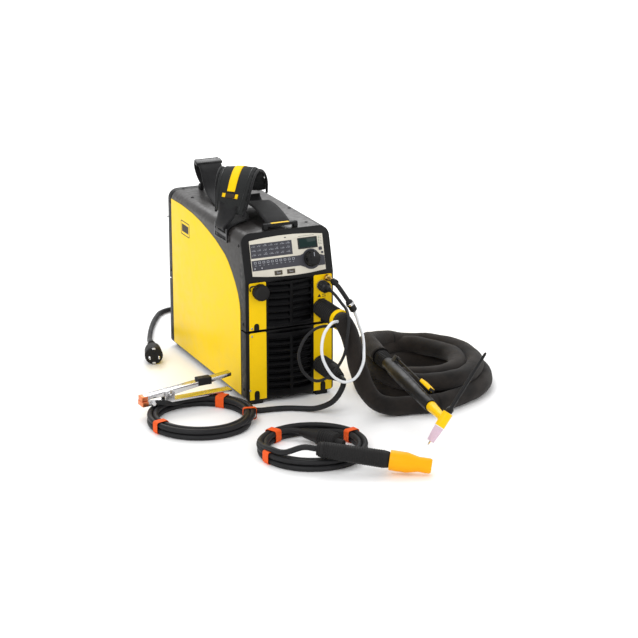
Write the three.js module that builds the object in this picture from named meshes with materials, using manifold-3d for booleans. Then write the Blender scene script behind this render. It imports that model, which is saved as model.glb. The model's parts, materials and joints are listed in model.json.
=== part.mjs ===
// Portable AC/DC TIG welding machine: an inverter unit standing on an AC unit, with its
// carrying strap, torch, work lead, electrode holder and mains lead.
import * as THREE from "three";
import { mergeVertices } from "three/addons/utils/BufferGeometryUtils.js";
import Module from "manifold-3d";

const wasm = await Module();
wasm.setup();

// Driving dimensions in millimetres. +X is the right side, -Y the front, +Z up.
// The origin is on the floor under the middle of the case.
const HALF_W = 94;
const FRONT = -209;
const REAR = 209;
const TOP = 345;
const COVER_FRONT = -183;
const COVER_REAR = 190;
const FLOOR_GAP = 8;
const LOWER_TOP = 149.5;
const UPPER_BASE = 153;
const SHEET = 2;
const WALL = 3;
const GAP = 0.3;
const CORNER_R = 20;
const FOOT_R = 8;
// The control panel leans back between the kink and the brow of the upper front frame.
const KINK_Z = 256;
const BROW_Y = -187;
const BROW_Z = 338;
const PANEL_TILT = Math.atan2(BROW_Y - FRONT, BROW_Z - KINK_Z);
const PANEL_T = 2.5;
// Louvred grilles bulge forward between the two yellow stripes.
const GRILLE_HALF = 50;
const GRILLE_BULGE = 10;
const GRILLE_T = 5;
const LOUVRE_PITCH = 14;
const LOUVRE_SLOT = 9;
// Sockets on the right-hand stripe, and the capped remote socket on the left one.
const SOCKET_X = 68;
const MINUS_Z = 183;
const PLUS_Z = 65;
const CONTROL_Z = 230;
const GAS_X = 80;
const GAS_Z = 244;
const REMOTE_X = -65;
const REMOTE_Z = 233;
const FLANGE_R = 18.5;
const FLANGE_T = 6;
const FLANGE_FACE = FRONT - GAP - FLANGE_T;
// Rear fittings.
const SWITCH_X = -72;
const SWITCH_Z = 262;
const GLAND_X = 50;
const GLAND_Z = 82;
const INLET_X = 64;
const INLET_Z = 205;
const FAN_Z = 215;
const FAN_R = 54;
const REACH = 30;
// Cord diameters.
const HOSE_D = 35;
const LEAD_D = 11;
const MAINS_D = 10.5;
const THIN_D = 6;
// Coils on the floor.
const WORK_COIL = { x: -209, y: -257, inner: 82, outer: 106, height: 24 };
const HOLDER_COIL = { x: -79, y: -493, inner: 80, outer: 105, height: 24 };
const MAINS_COIL = { x: 60, y: 335, inner: 48, outer: 72, height: 33 };
const HOSE_COIL = { x: 282, y: -236, inner: 55, outer: 141, height: 64, stretch: 170 / 141 };
const COIL_TURN = -24.5;

const COLOURS = {
  graphite: [0x4a4c4f, 0.5, 0.1],
  black: [0x17171a, 0.6, 0],
  rubber: [0x1b1b1c, 0.85, 0],
  cream: [0xd8d3c4, 0.5, 0],
  glass: [0x23403d, 0.15, 0],
  steel: [0xb6b9bd, 0.3, 0.9],
  brass: [0xc9a24a, 0.35, 0.9],
  aluminium: [0xc3c6c9, 0.4, 0.8],
  green: [0x1e5a38, 0.5, 0],
  copper: [0xb4673a, 0.4, 0.8],
  yellow: [0xf5c800, 0.45, 0],
  fabric: [0x202023, 0.95, 0],
  ceramic: [0xe3c3cf, 0.5, 0],
  white: [0xe8e8e6, 0.4, 0],
  orange: [0xf39a12, 0.45, 0],
};

const part = new THREE.Group();

function rad(degrees) {
  return THREE.MathUtils.degToRad(degrees);
}

function add(name, colour, geometry, parent = part) {
  const [color, roughness, metalness] = COLOURS[colour];
  const material = new THREE.MeshStandardMaterial({ color, roughness, metalness });
  const mesh = new THREE.Mesh(geometry, material);
  mesh.name = name;
  parent.add(mesh);
  return mesh;
}

// Booleans: a closed geometry becomes a manifold solid, and the result a geometry again.
function toSolid(geometry) {
  const bare = geometry.clone();
  bare.deleteAttribute("normal");
  bare.deleteAttribute("uv");
  const merged = mergeVertices(bare, 1e-4);
  const vertProperties = new Float32Array(merged.attributes.position.array);
  const triVerts = new Uint32Array(merged.index.array);
  return new wasm.Manifold(new wasm.Mesh({ numProp: 3, vertProperties, triVerts }));
}

function toGeometry(solid) {
  const { vertProperties, triVerts } = solid.getMesh();
  const geometry = new THREE.BufferGeometry();
  geometry.setAttribute("position", new THREE.BufferAttribute(vertProperties, 3));
  geometry.setIndex(new THREE.BufferAttribute(triVerts, 1));
  geometry.computeVertexNormals();
  return geometry;
}

function join(...pieces) {
  return toGeometry(pieces.map(toSolid).reduce((sum, piece) => sum.add(piece)));
}

function cut(body, ...tools) {
  const hole = tools.map(toSolid).reduce((sum, piece) => sum.add(piece));
  return toGeometry(toSolid(body).subtract(hole));
}

function common(first, second) {
  return toGeometry(toSolid(first).intersect(toSolid(second)));
}

// Blocks, turned pieces and extrusions in the object's own axes.
function slab(x0, x1, y0, y1, z0, z1) {
  const box = new THREE.BoxGeometry(x1 - x0, y1 - y0, z1 - z0);
  return box.translate((x0 + x1) / 2, (y0 + y1) / 2, (z0 + z1) / 2);
}

// A profile is a list of [radius, distance] that starts and ends on the axis.
function turned(profile, sides, direction, at) {
  const points = profile.map(([r, s]) => new THREE.Vector2(r, s));
  const lathe = new THREE.LatheGeometry(points, sides);
  const up = new THREE.Vector3(0, 1, 0);
  const aim = new THREE.Vector3(...direction).normalize();
  lathe.applyQuaternion(new THREE.Quaternion().setFromUnitVectors(up, aim));
  return lathe.translate(...at);
}

function rod(radius, length, sides, direction, at) {
  return turned([[0, 0], [radius, 0], [radius, length], [0, length]], sides, direction, at);
}

function polygon(points) {
  return new THREE.Shape(points.map(([x, y]) => new THREE.Vector2(x, y)));
}

function extrude(shape, depth, curveSegments = 3) {
  return new THREE.ExtrudeGeometry(shape, { depth, bevelEnabled: false, curveSegments });
}

// The shape is drawn in X and Z and runs from y0 back to y1.
function alongY(shape, y0, y1, curveSegments) {
  const body = extrude(shape, y1 - y0, curveSegments);
  return body.rotateX(Math.PI / 2).translate(0, y1, 0);
}

// The shape is drawn in Y and Z and runs from x0 to x1.
function alongX(shape, x0, x1, curveSegments) {
  const axes = new THREE.Matrix4().makeBasis(
    new THREE.Vector3(0, 1, 0),
    new THREE.Vector3(0, 0, 1),
    new THREE.Vector3(1, 0, 0),
  );
  return extrude(shape, x1 - x0, curveSegments).applyMatrix4(axes).translate(x0, 0, 0);
}

// A front outline with its two top corners and its two bottom corners rounded.
function outline(half, bottom, top, topR, bottomR) {
  const shape = new THREE.Shape();
  shape.moveTo(half, bottom + bottomR);
  shape.lineTo(half, top - topR);
  shape.absarc(half - topR, top - topR, topR, 0, Math.PI / 2, false);
  shape.absarc(topR - half, top - topR, topR, Math.PI / 2, Math.PI, false);
  shape.absarc(bottomR - half, bottom + bottomR, bottomR, Math.PI, Math.PI * 1.5, false);
  shape.absarc(half - bottomR, bottom + bottomR, bottomR, Math.PI * 1.5, Math.PI * 2, false);
  return shape;
}

// A round tube along a smooth curve, with a step every 2.5 diameters or so.
function tube(points, diameter, sides, spacing = 2.5) {
  const curve = new THREE.CatmullRomCurve3(points.map((p) => new THREE.Vector3(...p)));
  const section = new THREE.Shape();
  section.absarc(0, 0, diameter / 2, 0, Math.PI * 2, false);
  const steps = Math.min(80, Math.ceil(curve.getLength() / (spacing * diameter)));
  const options = { steps, bevelEnabled: false, extrudePath: curve, curveSegments: sides / 2 };
  return new THREE.ExtrudeGeometry(section, options);
}

// A flat band along a smooth curve; each station gives a point and the width direction.
function band(stations, width, thickness, steps) {
  const points = stations.map(([p]) => new THREE.Vector3(...p));
  const widths = stations.map(([, w]) => new THREE.Vector3(...w));
  const path = new THREE.CatmullRomCurve3(points);
  const spread = new THREE.CatmullRomCurve3(widths);
  const body = new THREE.BoxGeometry(width, thickness, 1, 1, 1, steps);
  const place = body.attributes.position;
  for (let i = 0; i < place.count; i += 1) {
    const t = Math.round((place.getZ(i) + 0.5) * steps) / steps;
    const along = path.getTangent(t);
    const across = spread.getPoint(t);
    across.addScaledVector(along, -across.dot(along)).normalize();
    const normal = new THREE.Vector3().crossVectors(along, across);
    const p = path.getPoint(t);
    p.addScaledVector(across, place.getX(i)).addScaledVector(normal, place.getY(i));
    place.setXYZ(i, p.x, p.y, p.z);
  }
  return body;
}

// The outer shape of a coil: a ring with rounded edges standing on the floor.
function coil({ x, y, inner, outer, height, stretch = 1 }, bevel, sides) {
  const profile = [
    [inner + bevel, 0],
    [outer - bevel, 0],
    [outer, bevel],
    [outer, height - bevel],
    [outer - bevel, height],
    [inner + bevel, height],
    [inner, height - bevel],
    [inner, bevel],
    [inner + bevel, 0],
  ];
  const points = profile.map(([r, z]) => new THREE.Vector2(r, z));
  const ring = new THREE.LatheGeometry(points, sides).rotateX(Math.PI / 2);
  ring.scale(1, stretch, 1).rotateZ(rad(COIL_TURN));
  return ring.translate(x, y, 0);
}

// Case: two bent covers with a deck plate between the units.
function upperCover() {
  const outer = outline(HALF_W, UPPER_BASE, TOP, CORNER_R, 0.01);
  const inner = outline(HALF_W - SHEET, UPPER_BASE - 20, TOP - SHEET, CORNER_R - SHEET, 0.01);
  const hollow = alongY(inner, COVER_FRONT - 1, COVER_REAR + 1);
  return cut(alongY(outer, COVER_FRONT, COVER_REAR), hollow);
}

function lowerCover() {
  const outer = outline(HALF_W, FLOOR_GAP, LOWER_TOP, 0.01, FOOT_R);
  const inner = outline(HALF_W - SHEET, FLOOR_GAP + SHEET, LOWER_TOP + 20, 0.01, FOOT_R - SHEET);
  const hollow = alongY(inner, COVER_FRONT - 1, COVER_REAR + 1);
  return cut(alongY(outer, COVER_FRONT, COVER_REAR), hollow);
}

function upperDeck() {
  const half = HALF_W - 1;
  return slab(-half, half, COVER_FRONT + GAP, COVER_REAR - GAP, LOWER_TOP + GAP, UPPER_BASE - GAP);
}

// Front frames: moulded trays that carry the grilles, the sockets and the panel.
function upperBezel() {
  const back = COVER_FRONT - GAP;
  const face = polygon([
    [FRONT, UPPER_BASE],
    [FRONT, KINK_Z],
    [BROW_Y, BROW_Z],
    [back - 1, TOP],
    [back, TOP],
    [back, UPPER_BASE],
  ]);
  const frontWall = WALL / Math.cos(PANEL_TILT);
  const core = polygon([
    [FRONT + WALL, UPPER_BASE + WALL],
    [FRONT + WALL, KINK_Z],
    [BROW_Y + frontWall, BROW_Z],
    [back + 1, BROW_Z + 1],
    [back + 1, UPPER_BASE + WALL],
  ]);
  const shell = common(
    alongY(outline(HALF_W, UPPER_BASE, TOP, CORNER_R, 0.01), FRONT, back),
    alongX(face, -HALF_W, HALF_W),
  );
  const pocket = common(
    alongY(outline(HALF_W - WALL, UPPER_BASE, TOP - WALL, CORNER_R, 0.01), FRONT, back + 1),
    alongX(core, -HALF_W, HALF_W),
  );
  const window = slab(-GRILLE_HALF, GRILLE_HALF, FRONT - 1, FRONT + 8, UPPER_BASE + 5, KINK_Z - 7);
  return cut(
    shell,
    pocket,
    window,
    rod(15.4, 10, 20, [0, 1, 0], [SOCKET_X, FRONT - 1, MINUS_Z]),
    rod(7.4, 10, 16, [0, 1, 0], [SOCKET_X, FRONT - 1, CONTROL_Z]),
    rod(4.4, 10, 12, [0, 1, 0], [GAS_X, FRONT - 1, GAS_Z]),
    rod(10.4, 10, 16, [0, 1, 0], [REMOTE_X, FRONT - 1, REMOTE_Z]),
  );
}

function lowerBezel() {
  const back = COVER_FRONT - GAP;
  const shell = alongY(outline(HALF_W, FLOOR_GAP, LOWER_TOP, 0.01, FOOT_R), FRONT, back);
  const inner = outline(HALF_W - WALL, FLOOR_GAP + WALL, LOWER_TOP - WALL, 0.01, FOOT_R - WALL);
  const tray = cut(
    shell,
    alongY(inner, FRONT + WALL, back + 1),
    slab(-GRILLE_HALF, GRILLE_HALF, FRONT - 1, FRONT + 8, FLOOR_GAP + 6, LOWER_TOP - 5),
    rod(15.4, 10, 20, [0, 1, 0], [SOCKET_X, FRONT - 1, PLUS_Z]),
  );
  return join(tray, foot(-1, FRONT), foot(1, FRONT));
}

// Moulded feet under the front and rear frames, standing on the floor.
function foot(side, y) {
  const inward = y < 0 ? 25 : -18;
  const y0 = Math.min(y, y + inward) + 1;
  const y1 = Math.max(y, y + inward) - 1;
  return slab(side * 70 - 12, side * 70 + 12, y0, y1, 0, FLOOR_GAP + 1);
}

// A louvred grille: a curved wall with rows of slots beside its middle rib.
function grille(bottom, top) {
  const half = GRILLE_HALF - GAP;
  const radius = (half * half + GRILLE_BULGE * GRILLE_BULGE) / (2 * GRILLE_BULGE);
  const spread = Math.asin(half / radius);
  const centreY = FRONT - GRILLE_BULGE + radius;
  const wall = new THREE.Shape();
  wall.absarc(0, centreY, radius, -Math.PI / 2 - spread, -Math.PI / 2 + spread, false);
  wall.lineTo(half, FRONT + GRILLE_T);
  wall.absarc(0, centreY + GRILLE_T, radius, -Math.PI / 2 + spread, -Math.PI / 2 - spread, true);
  const body = extrude(wall, top - bottom, 3).translate(0, 0, bottom);
  const slots = [];
  const rib = 3;
  const count = Math.floor((top - bottom - 4) / LOUVRE_PITCH);
  const first = bottom + (top - bottom - count * LOUVRE_PITCH + LOUVRE_PITCH - LOUVRE_SLOT) / 2;
  for (let i = 0; i < count; i += 1) {
    const z = first + i * LOUVRE_PITCH;
    slots.push(slab(-half + 4, -rib, FRONT - 20, FRONT + 10, z, z + LOUVRE_SLOT));
    slots.push(slab(rib, half - 4, FRONT - 20, FRONT + 10, z, z + LOUVRE_SLOT));
  }
  return cut(body, ...slots);
}

// Rear frames: trays with air slots, the fan behind the upper one.
function rearTray(bottom, top, topR, bottomR) {
  const front = COVER_REAR + GAP;
  const shell = alongY(outline(HALF_W, bottom, top, topR, bottomR), front, REAR);
  const innerTop = Math.max(topR - WALL, 0.01);
  const innerBottom = Math.max(bottomR - WALL, 0.01);
  const inner = outline(HALF_W - WALL, bottom + WALL, top - WALL, innerTop, innerBottom);
  return cut(shell, alongY(inner, front - 1, REAR - WALL));
}

function airSlots(centreZ, rows, halfWidth) {
  const slots = [];
  for (let i = 0; i < rows; i += 1) {
    const z = centreZ + (i - (rows - 1) / 2) * LOUVRE_PITCH;
    slots.push(slab(-halfWidth, halfWidth, REAR - 10, REAR + 5, z - 4, z + 4));
  }
  return slots;
}

function upperRear() {
  return cut(
    rearTray(UPPER_BASE, TOP, CORNER_R, 0.01),
    ...airSlots(FAN_Z, 7, 42),
    rod(8.4, 12, 16, [0, 1, 0], [SWITCH_X, REAR - 8, SWITCH_Z]),
    rod(5.4, 12, 12, [0, 1, 0], [INLET_X, REAR - 8, INLET_Z]),
  );
}

function lowerRear() {
  const tray = cut(
    rearTray(FLOOR_GAP, LOWER_TOP, 0.01, FOOT_R),
    ...airSlots(80, 5, 28),
    rod(9.4, 12, 16, [0, 1, 0], [GLAND_X, REAR - 8, GLAND_Z]),
  );
  return join(tray, foot(-1, REAR), foot(1, REAR));
}

// Control panel, drawn upright in a group that leans back about the kink.
const panel = new THREE.Group();
panel.position.set(0, FRONT, KINK_Z);
panel.rotation.x = -PANEL_TILT;
part.add(panel);
const PLATE_BACK = -GAP;
const PLATE_FACE = -GAP - PANEL_T;
const KNOB = { x: 48.5, z: 29.5 };
const KEY_Z = 9.5;
const KEY_X = { key_left: -23.5, key_right: 3.5 };
const KEY_HALF_W = 8;
const KEY_HALF_H = 4;
const KEY_PLAY = 0.3;
const WINDOW = { x: 44.5, z: 61, w: 41, h: 21 };

function controlPanel() {
  const shape = new THREE.Shape();
  shape.moveTo(-78, 8);
  shape.quadraticCurveTo(0, -4, 78, 5);
  shape.lineTo(78, 76);
  shape.quadraticCurveTo(0, 87, -78, 77.5);
  const holeW = KEY_HALF_W + KEY_PLAY;
  const holeH = KEY_HALF_H + KEY_PLAY;
  const keyHole = (x) => slab(x - holeW, x + holeW, -10, 5, KEY_Z - holeH, KEY_Z + holeH);
  const keyHoles = Object.values(KEY_X).map(keyHole);
  const { x, z, w, h } = WINDOW;
  return cut(
    alongY(shape, PLATE_FACE, PLATE_BACK, 5),
    ...keyHoles,
    slab(x - w / 2 - GAP, x + w / 2 + GAP, -10, 5, z - h / 2 - GAP, z + h / 2 + GAP),
    rod(3.6, 20, 12, [0, 1, 0], [KNOB.x, -10, KNOB.z]),
  );
}

function displayWindow() {
  const { x, z, w, h } = WINDOW;
  return slab(x - w / 2, x + w / 2, PLATE_FACE - 0.2, -0.5, z - h / 2, z + h / 2);
}

function controlKey(x) {
  return slab(x - KEY_HALF_W, x + KEY_HALF_W, PLATE_FACE - 1.4, -1, KEY_Z - KEY_HALF_H, KEY_Z + KEY_HALF_H);
}

function encoderKnob() {
  const profile = [
    [0, -2],
    [3, -2],
    [3, 0.3],
    [16.5, 0.3],
    [16.5, 4],
    [14.5, 6],
    [14, 17],
    [12.5, 18.5],
    [0, 18.5],
  ];
  return turned(profile, 20, [0, -1, 0], [KNOB.x, PLATE_FACE, KNOB.z]);
}

// Front connectors.
function weldSocket(z) {
  const profile = [
    [0, -22],
    [15, -22],
    [15, 0],
    [FLANGE_R, 0],
    [FLANGE_R, FLANGE_T - 1.5],
    [FLANGE_R - 1.5, FLANGE_T],
    [8, FLANGE_T],
    [8, -8],
    [0, -8],
  ];
  return turned(profile, 20, [0, -1, 0], [SOCKET_X, FRONT - GAP, z]);
}

function controlSocket() {
  const profile = [[0, -16], [7, -16], [7, 0], [11, 0], [11, 4.5], [0, 4.5]];
  return turned(profile, 20, [0, -1, 0], [SOCKET_X, FRONT - GAP, CONTROL_Z]);
}

function gasOutlet() {
  const profile = [
    [0, -16],
    [4, -16],
    [4, 0],
    [6.5, 0],
    [6.5, 8],
    [4.2, 9],
    [4.2, REACH],
    [0, REACH],
  ];
  return turned(profile, 14, [0, -1, 0], [GAS_X, FRONT - GAP, GAS_Z]);
}

function remoteCap() {
  const profile = [
    [0, -14],
    [10, -14],
    [10, 0],
    [15.5, 0],
    [15.5, 17],
    [13, 20],
    [0, 20],
  ];
  return turned(profile, 18, [0, -1, 0], [REMOTE_X, FRONT - GAP, REMOTE_Z]);
}

// Rear fittings: rotary mains switch, cable gland and shielding-gas inlet.
function mainsSwitchKnob() {
  const base = [[0, -12], [8, -12], [8, 0.3], [16, 0.3], [16, 7], [14.5, 9], [0, 9]];
  const at = [SWITCH_X, REAR, SWITCH_Z];
  return join(
    turned(base, 20, [0, 1, 0], at),
    slab(SWITCH_X - 4, SWITCH_X + 4, REAR + 5, REAR + 22, SWITCH_Z - 14, SWITCH_Z + 14),
  );
}

function mainsGland() {
  const profile = [
    [0, -12],
    [9, -12],
    [9, 0.3],
    [14, 0.3],
    [14, 9],
    [10.5, 12],
    [8, 26],
    [0, 26],
  ];
  return turned(profile, 20, [0, 1, 0], [GLAND_X, REAR, GLAND_Z]);
}

function gasInlet() {
  const profile = [
    [0, -14],
    [5, -14],
    [5, 0.3],
    [9, 0.3],
    [9, 9],
    [4.5, 10],
    [4.5, REACH],
    [0, REACH],
  ];
  return turned(profile, 12, [0, 1, 0], [INLET_X, REAR, INLET_Z]);
}

// Inside the upper unit: fan, heatsink and inverter board; inside the lower unit: the
// main transformer and the AC switching module.
function fanFrame() {
  const frame = cut(
    slab(-60, 60, 160, 188, FAN_Z - 60, FAN_Z + 60),
    rod(FAN_R + 3, 40, 32, [0, 1, 0], [0, 155, FAN_Z]),
  );
  const spoke = (angle) => {
    const arm = slab(-3, 3, 184, 188, 10, FAN_R + 5);
    return arm.rotateY(rad(angle)).translate(0, 0, FAN_Z);
  };
  return join(frame, rod(17, 4, 24, [0, 1, 0], [0, 184, FAN_Z]), ...[45, 135, 225, 315].map(spoke));
}

function fanRotor() {
  const blades = [];
  for (let i = 0; i < 7; i += 1) {
    const blade = new THREE.BoxGeometry(22, 2, 36).rotateZ(rad(35)).translate(0, 0, 34);
    blades.push(blade.rotateY(rad((360 * i) / 7)).translate(0, 172, FAN_Z));
  }
  return join(rod(18, 20, 24, [0, 1, 0], [0, 162, FAN_Z]), ...blades);
}

function heatsink() {
  const fins = [];
  for (let i = 0; i < 9; i += 1) {
    const x = -64 + i * 15.5;
    fins.push(slab(x, x + 4, -60, 130, UPPER_BASE, UPPER_BASE + 50));
  }
  return join(slab(-64, 64, -60, 130, UPPER_BASE + 48, UPPER_BASE + 56), ...fins);
}

function inverterBoard() {
  const base = UPPER_BASE + 56 + GAP;
  const caps = [];
  for (let i = 0; i < 4; i += 1) {
    caps.push(rod(14, 44, 14, [0, 0, 1], [-45 + i * 30, 60, base + 1]));
  }
  const coilCore = slab(-30, 30, -40, 20, base + 1, base + 50);
  return join(slab(-80, 80, -60, 130, base, base + 3), coilCore, ...caps);
}

function transformer() {
  const z = FLOOR_GAP + SHEET + GAP;
  const core = cut(slab(-50, 50, 20, 80, z, z + 90), slab(-30, 30, 10, 90, z + 20, z + 70));
  return join(core, slab(-28, 28, 5, 95, z + 18, z + 72));
}

function acModule() {
  const z = FLOOR_GAP + SHEET + GAP;
  const fins = [];
  for (let i = 0; i < 8; i += 1) {
    const x = -60 + i * 17;
    fins.push(slab(x, x + 4, -150, -30, z + 8, z + 60));
  }
  return join(slab(-62, 64, -150, -30, z, z + 9), ...fins);
}

// Carrying strap: two anchor bars, webbing, the padded shoulder section and its buckle.
function strapAnchor(y, half) {
  const base = TOP + GAP;
  const bar = slab(-5 - half, -5 + half, y - 5, y + 5, base + 6, base + 12);
  const posts = [-1, 1].map((side) => {
    const x = -5 + side * (half - 4);
    return slab(x - 4, x + 4, y - 6, y + 6, base, base + 11);
  });
  return join(bar, ...posts);
}

const ANCHOR_Y = 174;
const PAD_W = 80;
const PAD_T = 12;
const WEB_W = 50;
const WEB_T = 2.2;

function strapPad() {
  const stations = [
    [[-80, -96, 363], [0.35, -0.93, 0]],
    [[-73, -92, 386], [0.5, -0.87, 0]],
    [[-66, -86, 412], [0.62, -0.78, 0]],
    [[-50, -64, 433], [0.7, -0.71, 0]],
    [[-30, -34, 436], [0.75, -0.66, 0]],
    [[-8, -8, 422], [0.8, -0.6, 0]],
    [[4, 8, 398], [0.85, -0.53, 0]],
    [[6, 14, 374], [0.9, -0.44, 0]],
  ];
  return band(stations, PAD_W, PAD_T, 16);
}

function rearWebbing() {
  const across = [1, 0, 0];
  const alongEdge = [0, -1, 0];
  const stations = [
    [[-95.8, -96, 312], alongEdge],
    [[-95.8, -96, 326], alongEdge],
    [[-90.4, -96, 341.4], alongEdge],
    [[-74, -94, 348.3], alongEdge],
    [[-54, -72, 348.4], [0.6, -0.8, 0]],
    [[-41, -14, 348.4], across],
    [[-33, 44, 349.6], across],
    [[-27, 106, 364], across],
    [[-22, 145, 398], across],
    [[-18, 180, 408], across],
    [[-11, 203, 388], across],
    [[-6, 201, 366], across],
    [[-5, 191, 357], across],
    [[-5, 181.5, 354], across],
  ];
  return band(stations, WEB_W, WEB_T, 44);
}

function frontWebbing() {
  const across = [1, 0, 0];
  const stations = [
    [[-5, -168, 354], across],
    [[-5, -152, 360], across],
    [[-3, -120, 366], across],
    [[0, -80, 369], across],
    [[4, -40, 366], across],
    [[7, -10, 358], [1, -0.1, 0]],
    [[8.5, 6, 355], [1, -0.2, 0]],
    [[8, 15, 359], [0.95, -0.35, 0]],
    [[6.3, 15, 367.5], [0.9, -0.44, 0]],
  ];
  return band(stations, WEB_W, WEB_T, 22);
}

// Ladder buckle below the pad, flat against the side: a frame with two openings.
function strapBuckle() {
  const y = -96;
  const z = 328;
  const slots = [-7, 7].map((dz) => slab(-110, -90, y - 27, y + 27, z + dz - 4, z + dz + 4));
  return cut(slab(-99.6, -97.3, y - 33, y + 33, z - 14, z + 14), ...slots);
}

// Cord fittings on the front. The plugs enter their sockets with clearance.
function weldPlug(z, length, rearR) {
  const profile = [
    [0, -12],
    [6.5, -12],
    [6.5, 0.3],
    [17, 0.3],
    [17, length * 0.55],
    [14.5, length * 0.6],
    [rearR, length],
    [0, length],
  ];
  return turned(profile, 18, [0, -1, 0], [SOCKET_X, FLANGE_FACE, z]);
}

function torchPlug() {
  const profile = [
    [0, -12],
    [6.5, -12],
    [6.5, 0.3],
    [17, 0.3],
    [17, 76],
    [19, 77],
    [19, 88],
    [0, 88],
  ];
  return turned(profile, 18, [0, -1, 0], [SOCKET_X, FLANGE_FACE, MINUS_Z]);
}

function controlPlug() {
  const profile = [[0, 0.3], [10.5, 0.3], [10.5, 20], [7, 23], [4.5, 36], [0, 36]];
  return turned(profile, 16, [0, -1, 0], [SOCKET_X, FRONT - GAP - 4.5, CONTROL_Z]);
}

// Short hose and quick coupling between the gas outlet and the white torch gas hose.
const COUPLING_START = [GAS_X, FRONT - REACH - 1, GAS_Z];
const COUPLING_TOP = [96, -276, 212];
const COUPLING_END = [109, -279, 189];

function gasCoupling() {
  const nut = rod(6.5, 12, 12, [0, -1, 0], COUPLING_START);
  const hose = tube([[GAS_X, -246, GAS_Z], [82, -262, 238], [89, -272, 224], [97, -276, 210]], 9, 10);
  const profile = [[0, 0], [6, 0], [7.5, 3], [7.5, 22], [5, 25], [0, 25]];
  const aim = COUPLING_END.map((v, i) => v - COUPLING_TOP[i]);
  return join(nut, hose, turned(profile, 12, aim, COUPLING_TOP));
}

// Thin lines that hang in front of the right stripe and enter the torch hose sleeve.
function gasHose() {
  const points = [
    [109, -281, 184.5],
    [110, -294, 168],
    [103, -330, 148],
    [94, -352, 132],
    [88, -362, 112],
    [70, -366, 85],
    [48, -366, 79],
    [27, -363, 90],
    [8, -361, 118],
    [2, -357, 143],
    [9, -351, 176],
    [26, -342, 191],
    [44.5, -325, 190],
  ];
  return tube(points, THIN_D, 8, 3);
}

function controlLead() {
  const points = [
    [SOCKET_X, -250.6, CONTROL_Z],
    [SOCKET_X, -258, CONTROL_Z],
    [72, -272, 223],
    [77, -286, 212],
    [75, -312, 207],
    [67, -340, 194],
    [58, -353, 168],
    [50, -354, 128],
    [24, -351, 93],
    [-5, -350, 84],
    [-31, -346, 104],
    [-41, -345, 140],
    [-28, -343, 170],
    [-2, -334, 184],
    [24, -322, 183],
    [44, -311, 176],
  ];
  return tube(points, THIN_D, 8, 3);
}

// Torch hose: the drop from the plug, the coil on the floor, and the end under the torch.
function torchHose() {
  const points = [
    [SOCKET_X, FLANGE_FACE - 88.4, MINUS_Z],
    [SOCKET_X, -316, MINUS_Z],
    [73, -333, 160],
    [82, -338, 118],
    [90, -342, 84],
    [101, -352, 50],
    [112, -366, 32],
    [136, -379, 21],
    [174, -388.5, 18],
  ];
  return tube(points, HOSE_D, 12, 1.2);
}

const TORCH_REAR = [173, -265, 82.5];
const TORCH_ELBOW = [141, -600, 68];
const CAP_AXIS = [0.592, 0.014, 0.805];
const TORCH_LENGTH = 337;

function torchHoseEnd() {
  return tube([[190, -166, 82.5], [182, -215, 82.5], [173.3, -264, 82.5]], HOSE_D, 12, 1.2);
}

// Torch, drawn in its own axes: the handle along +X from the boot to the elbow, with the
// nozzle and back cap in the X-Z plane.
const torch = new THREE.Group();
{
  const start = new THREE.Vector3(...TORCH_REAR);
  const along = new THREE.Vector3(...TORCH_ELBOW).sub(start).normalize();
  const up = new THREE.Vector3(...CAP_AXIS);
  up.addScaledVector(along, -up.dot(along)).normalize();
  const side = new THREE.Vector3().crossVectors(up, along);
  torch.quaternion.setFromRotationMatrix(new THREE.Matrix4().makeBasis(along, side, up));
  torch.position.copy(start);
}
part.add(torch);
const CAP_LEAN = rad(96.2);
const CAP_DIRECTION = [Math.cos(CAP_LEAN), 0, Math.sin(CAP_LEAN)];
const NOZZLE_DIRECTION = CAP_DIRECTION.map((v) => -v);
const ELBOW = [TORCH_LENGTH, 0, 0];
const GRIP_END = 272;
const LEVER_X = 58;
const LEVER_Z = 20.5;

function torchHandle() {
  const profile = [
    [0, 0.3],
    [13.5, 0.3],
    [15, 6],
    [11.5, 60],
    [14, 72],
    [14.5, 130],
    [13, 200],
    [12.5, GRIP_END],
    [0, GRIP_END],
  ];
  const body = turned(profile, 20, [1, 0, 0], [0, 0, 0]);
  const bracket = slab(LEVER_X - 7, LEVER_X + 7, -5, 5, 8, 24);
  const slot = slab(LEVER_X - 9, LEVER_X + 9, -2.6, 2.6, 16, 26);
  return join(cut(join(body, bracket), slot), rod(1.2, 8, 8, [0, 1, 0], [LEVER_X, -4, LEVER_Z]));
}

// The lever turns on the bracket's pin at the rear of the handle and carries the yellow pad.
function torchTrigger() {
  const eye = rod(3.2, 4, 12, [0, 1, 0], [LEVER_X, -2, LEVER_Z]);
  const lever = slab(LEVER_X, 192, -2, 2, 19, 22);
  const pad = slab(188, 240, -5.5, 5.5, 20, 26);
  return cut(join(eye, lever, pad), rod(1.6, 8, 8, [0, 1, 0], [LEVER_X, -4, LEVER_Z]));
}

function torchHead() {
  const rear = GRIP_END + GAP;
  const profile = [[0, rear], [10.5, rear], [8.5, 310], [8.5, TORCH_LENGTH], [0, TORCH_LENGTH]];
  const neck = turned(profile, 16, [1, 0, 0], [0, 0, 0]);
  const at = (s) => ELBOW.map((v, i) => v + NOZZLE_DIRECTION[i] * s);
  return join(
    neck,
    rod(9.8, 30, 20, NOZZLE_DIRECTION, at(-14)),
    rod(1.3, 40, 8, NOZZLE_DIRECTION, at(14)),
  );
}

function torchNozzle() {
  const profile = [
    [4.6, 0],
    [9, 0],
    [8.6, 12],
    [6.9, 32],
    [4.6, 32],
    [4.6, 0],
  ];
  const at = ELBOW.map((v, i) => v + NOZZLE_DIRECTION[i] * 16.3);
  return turned(profile, 20, NOZZLE_DIRECTION, at);
}

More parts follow.
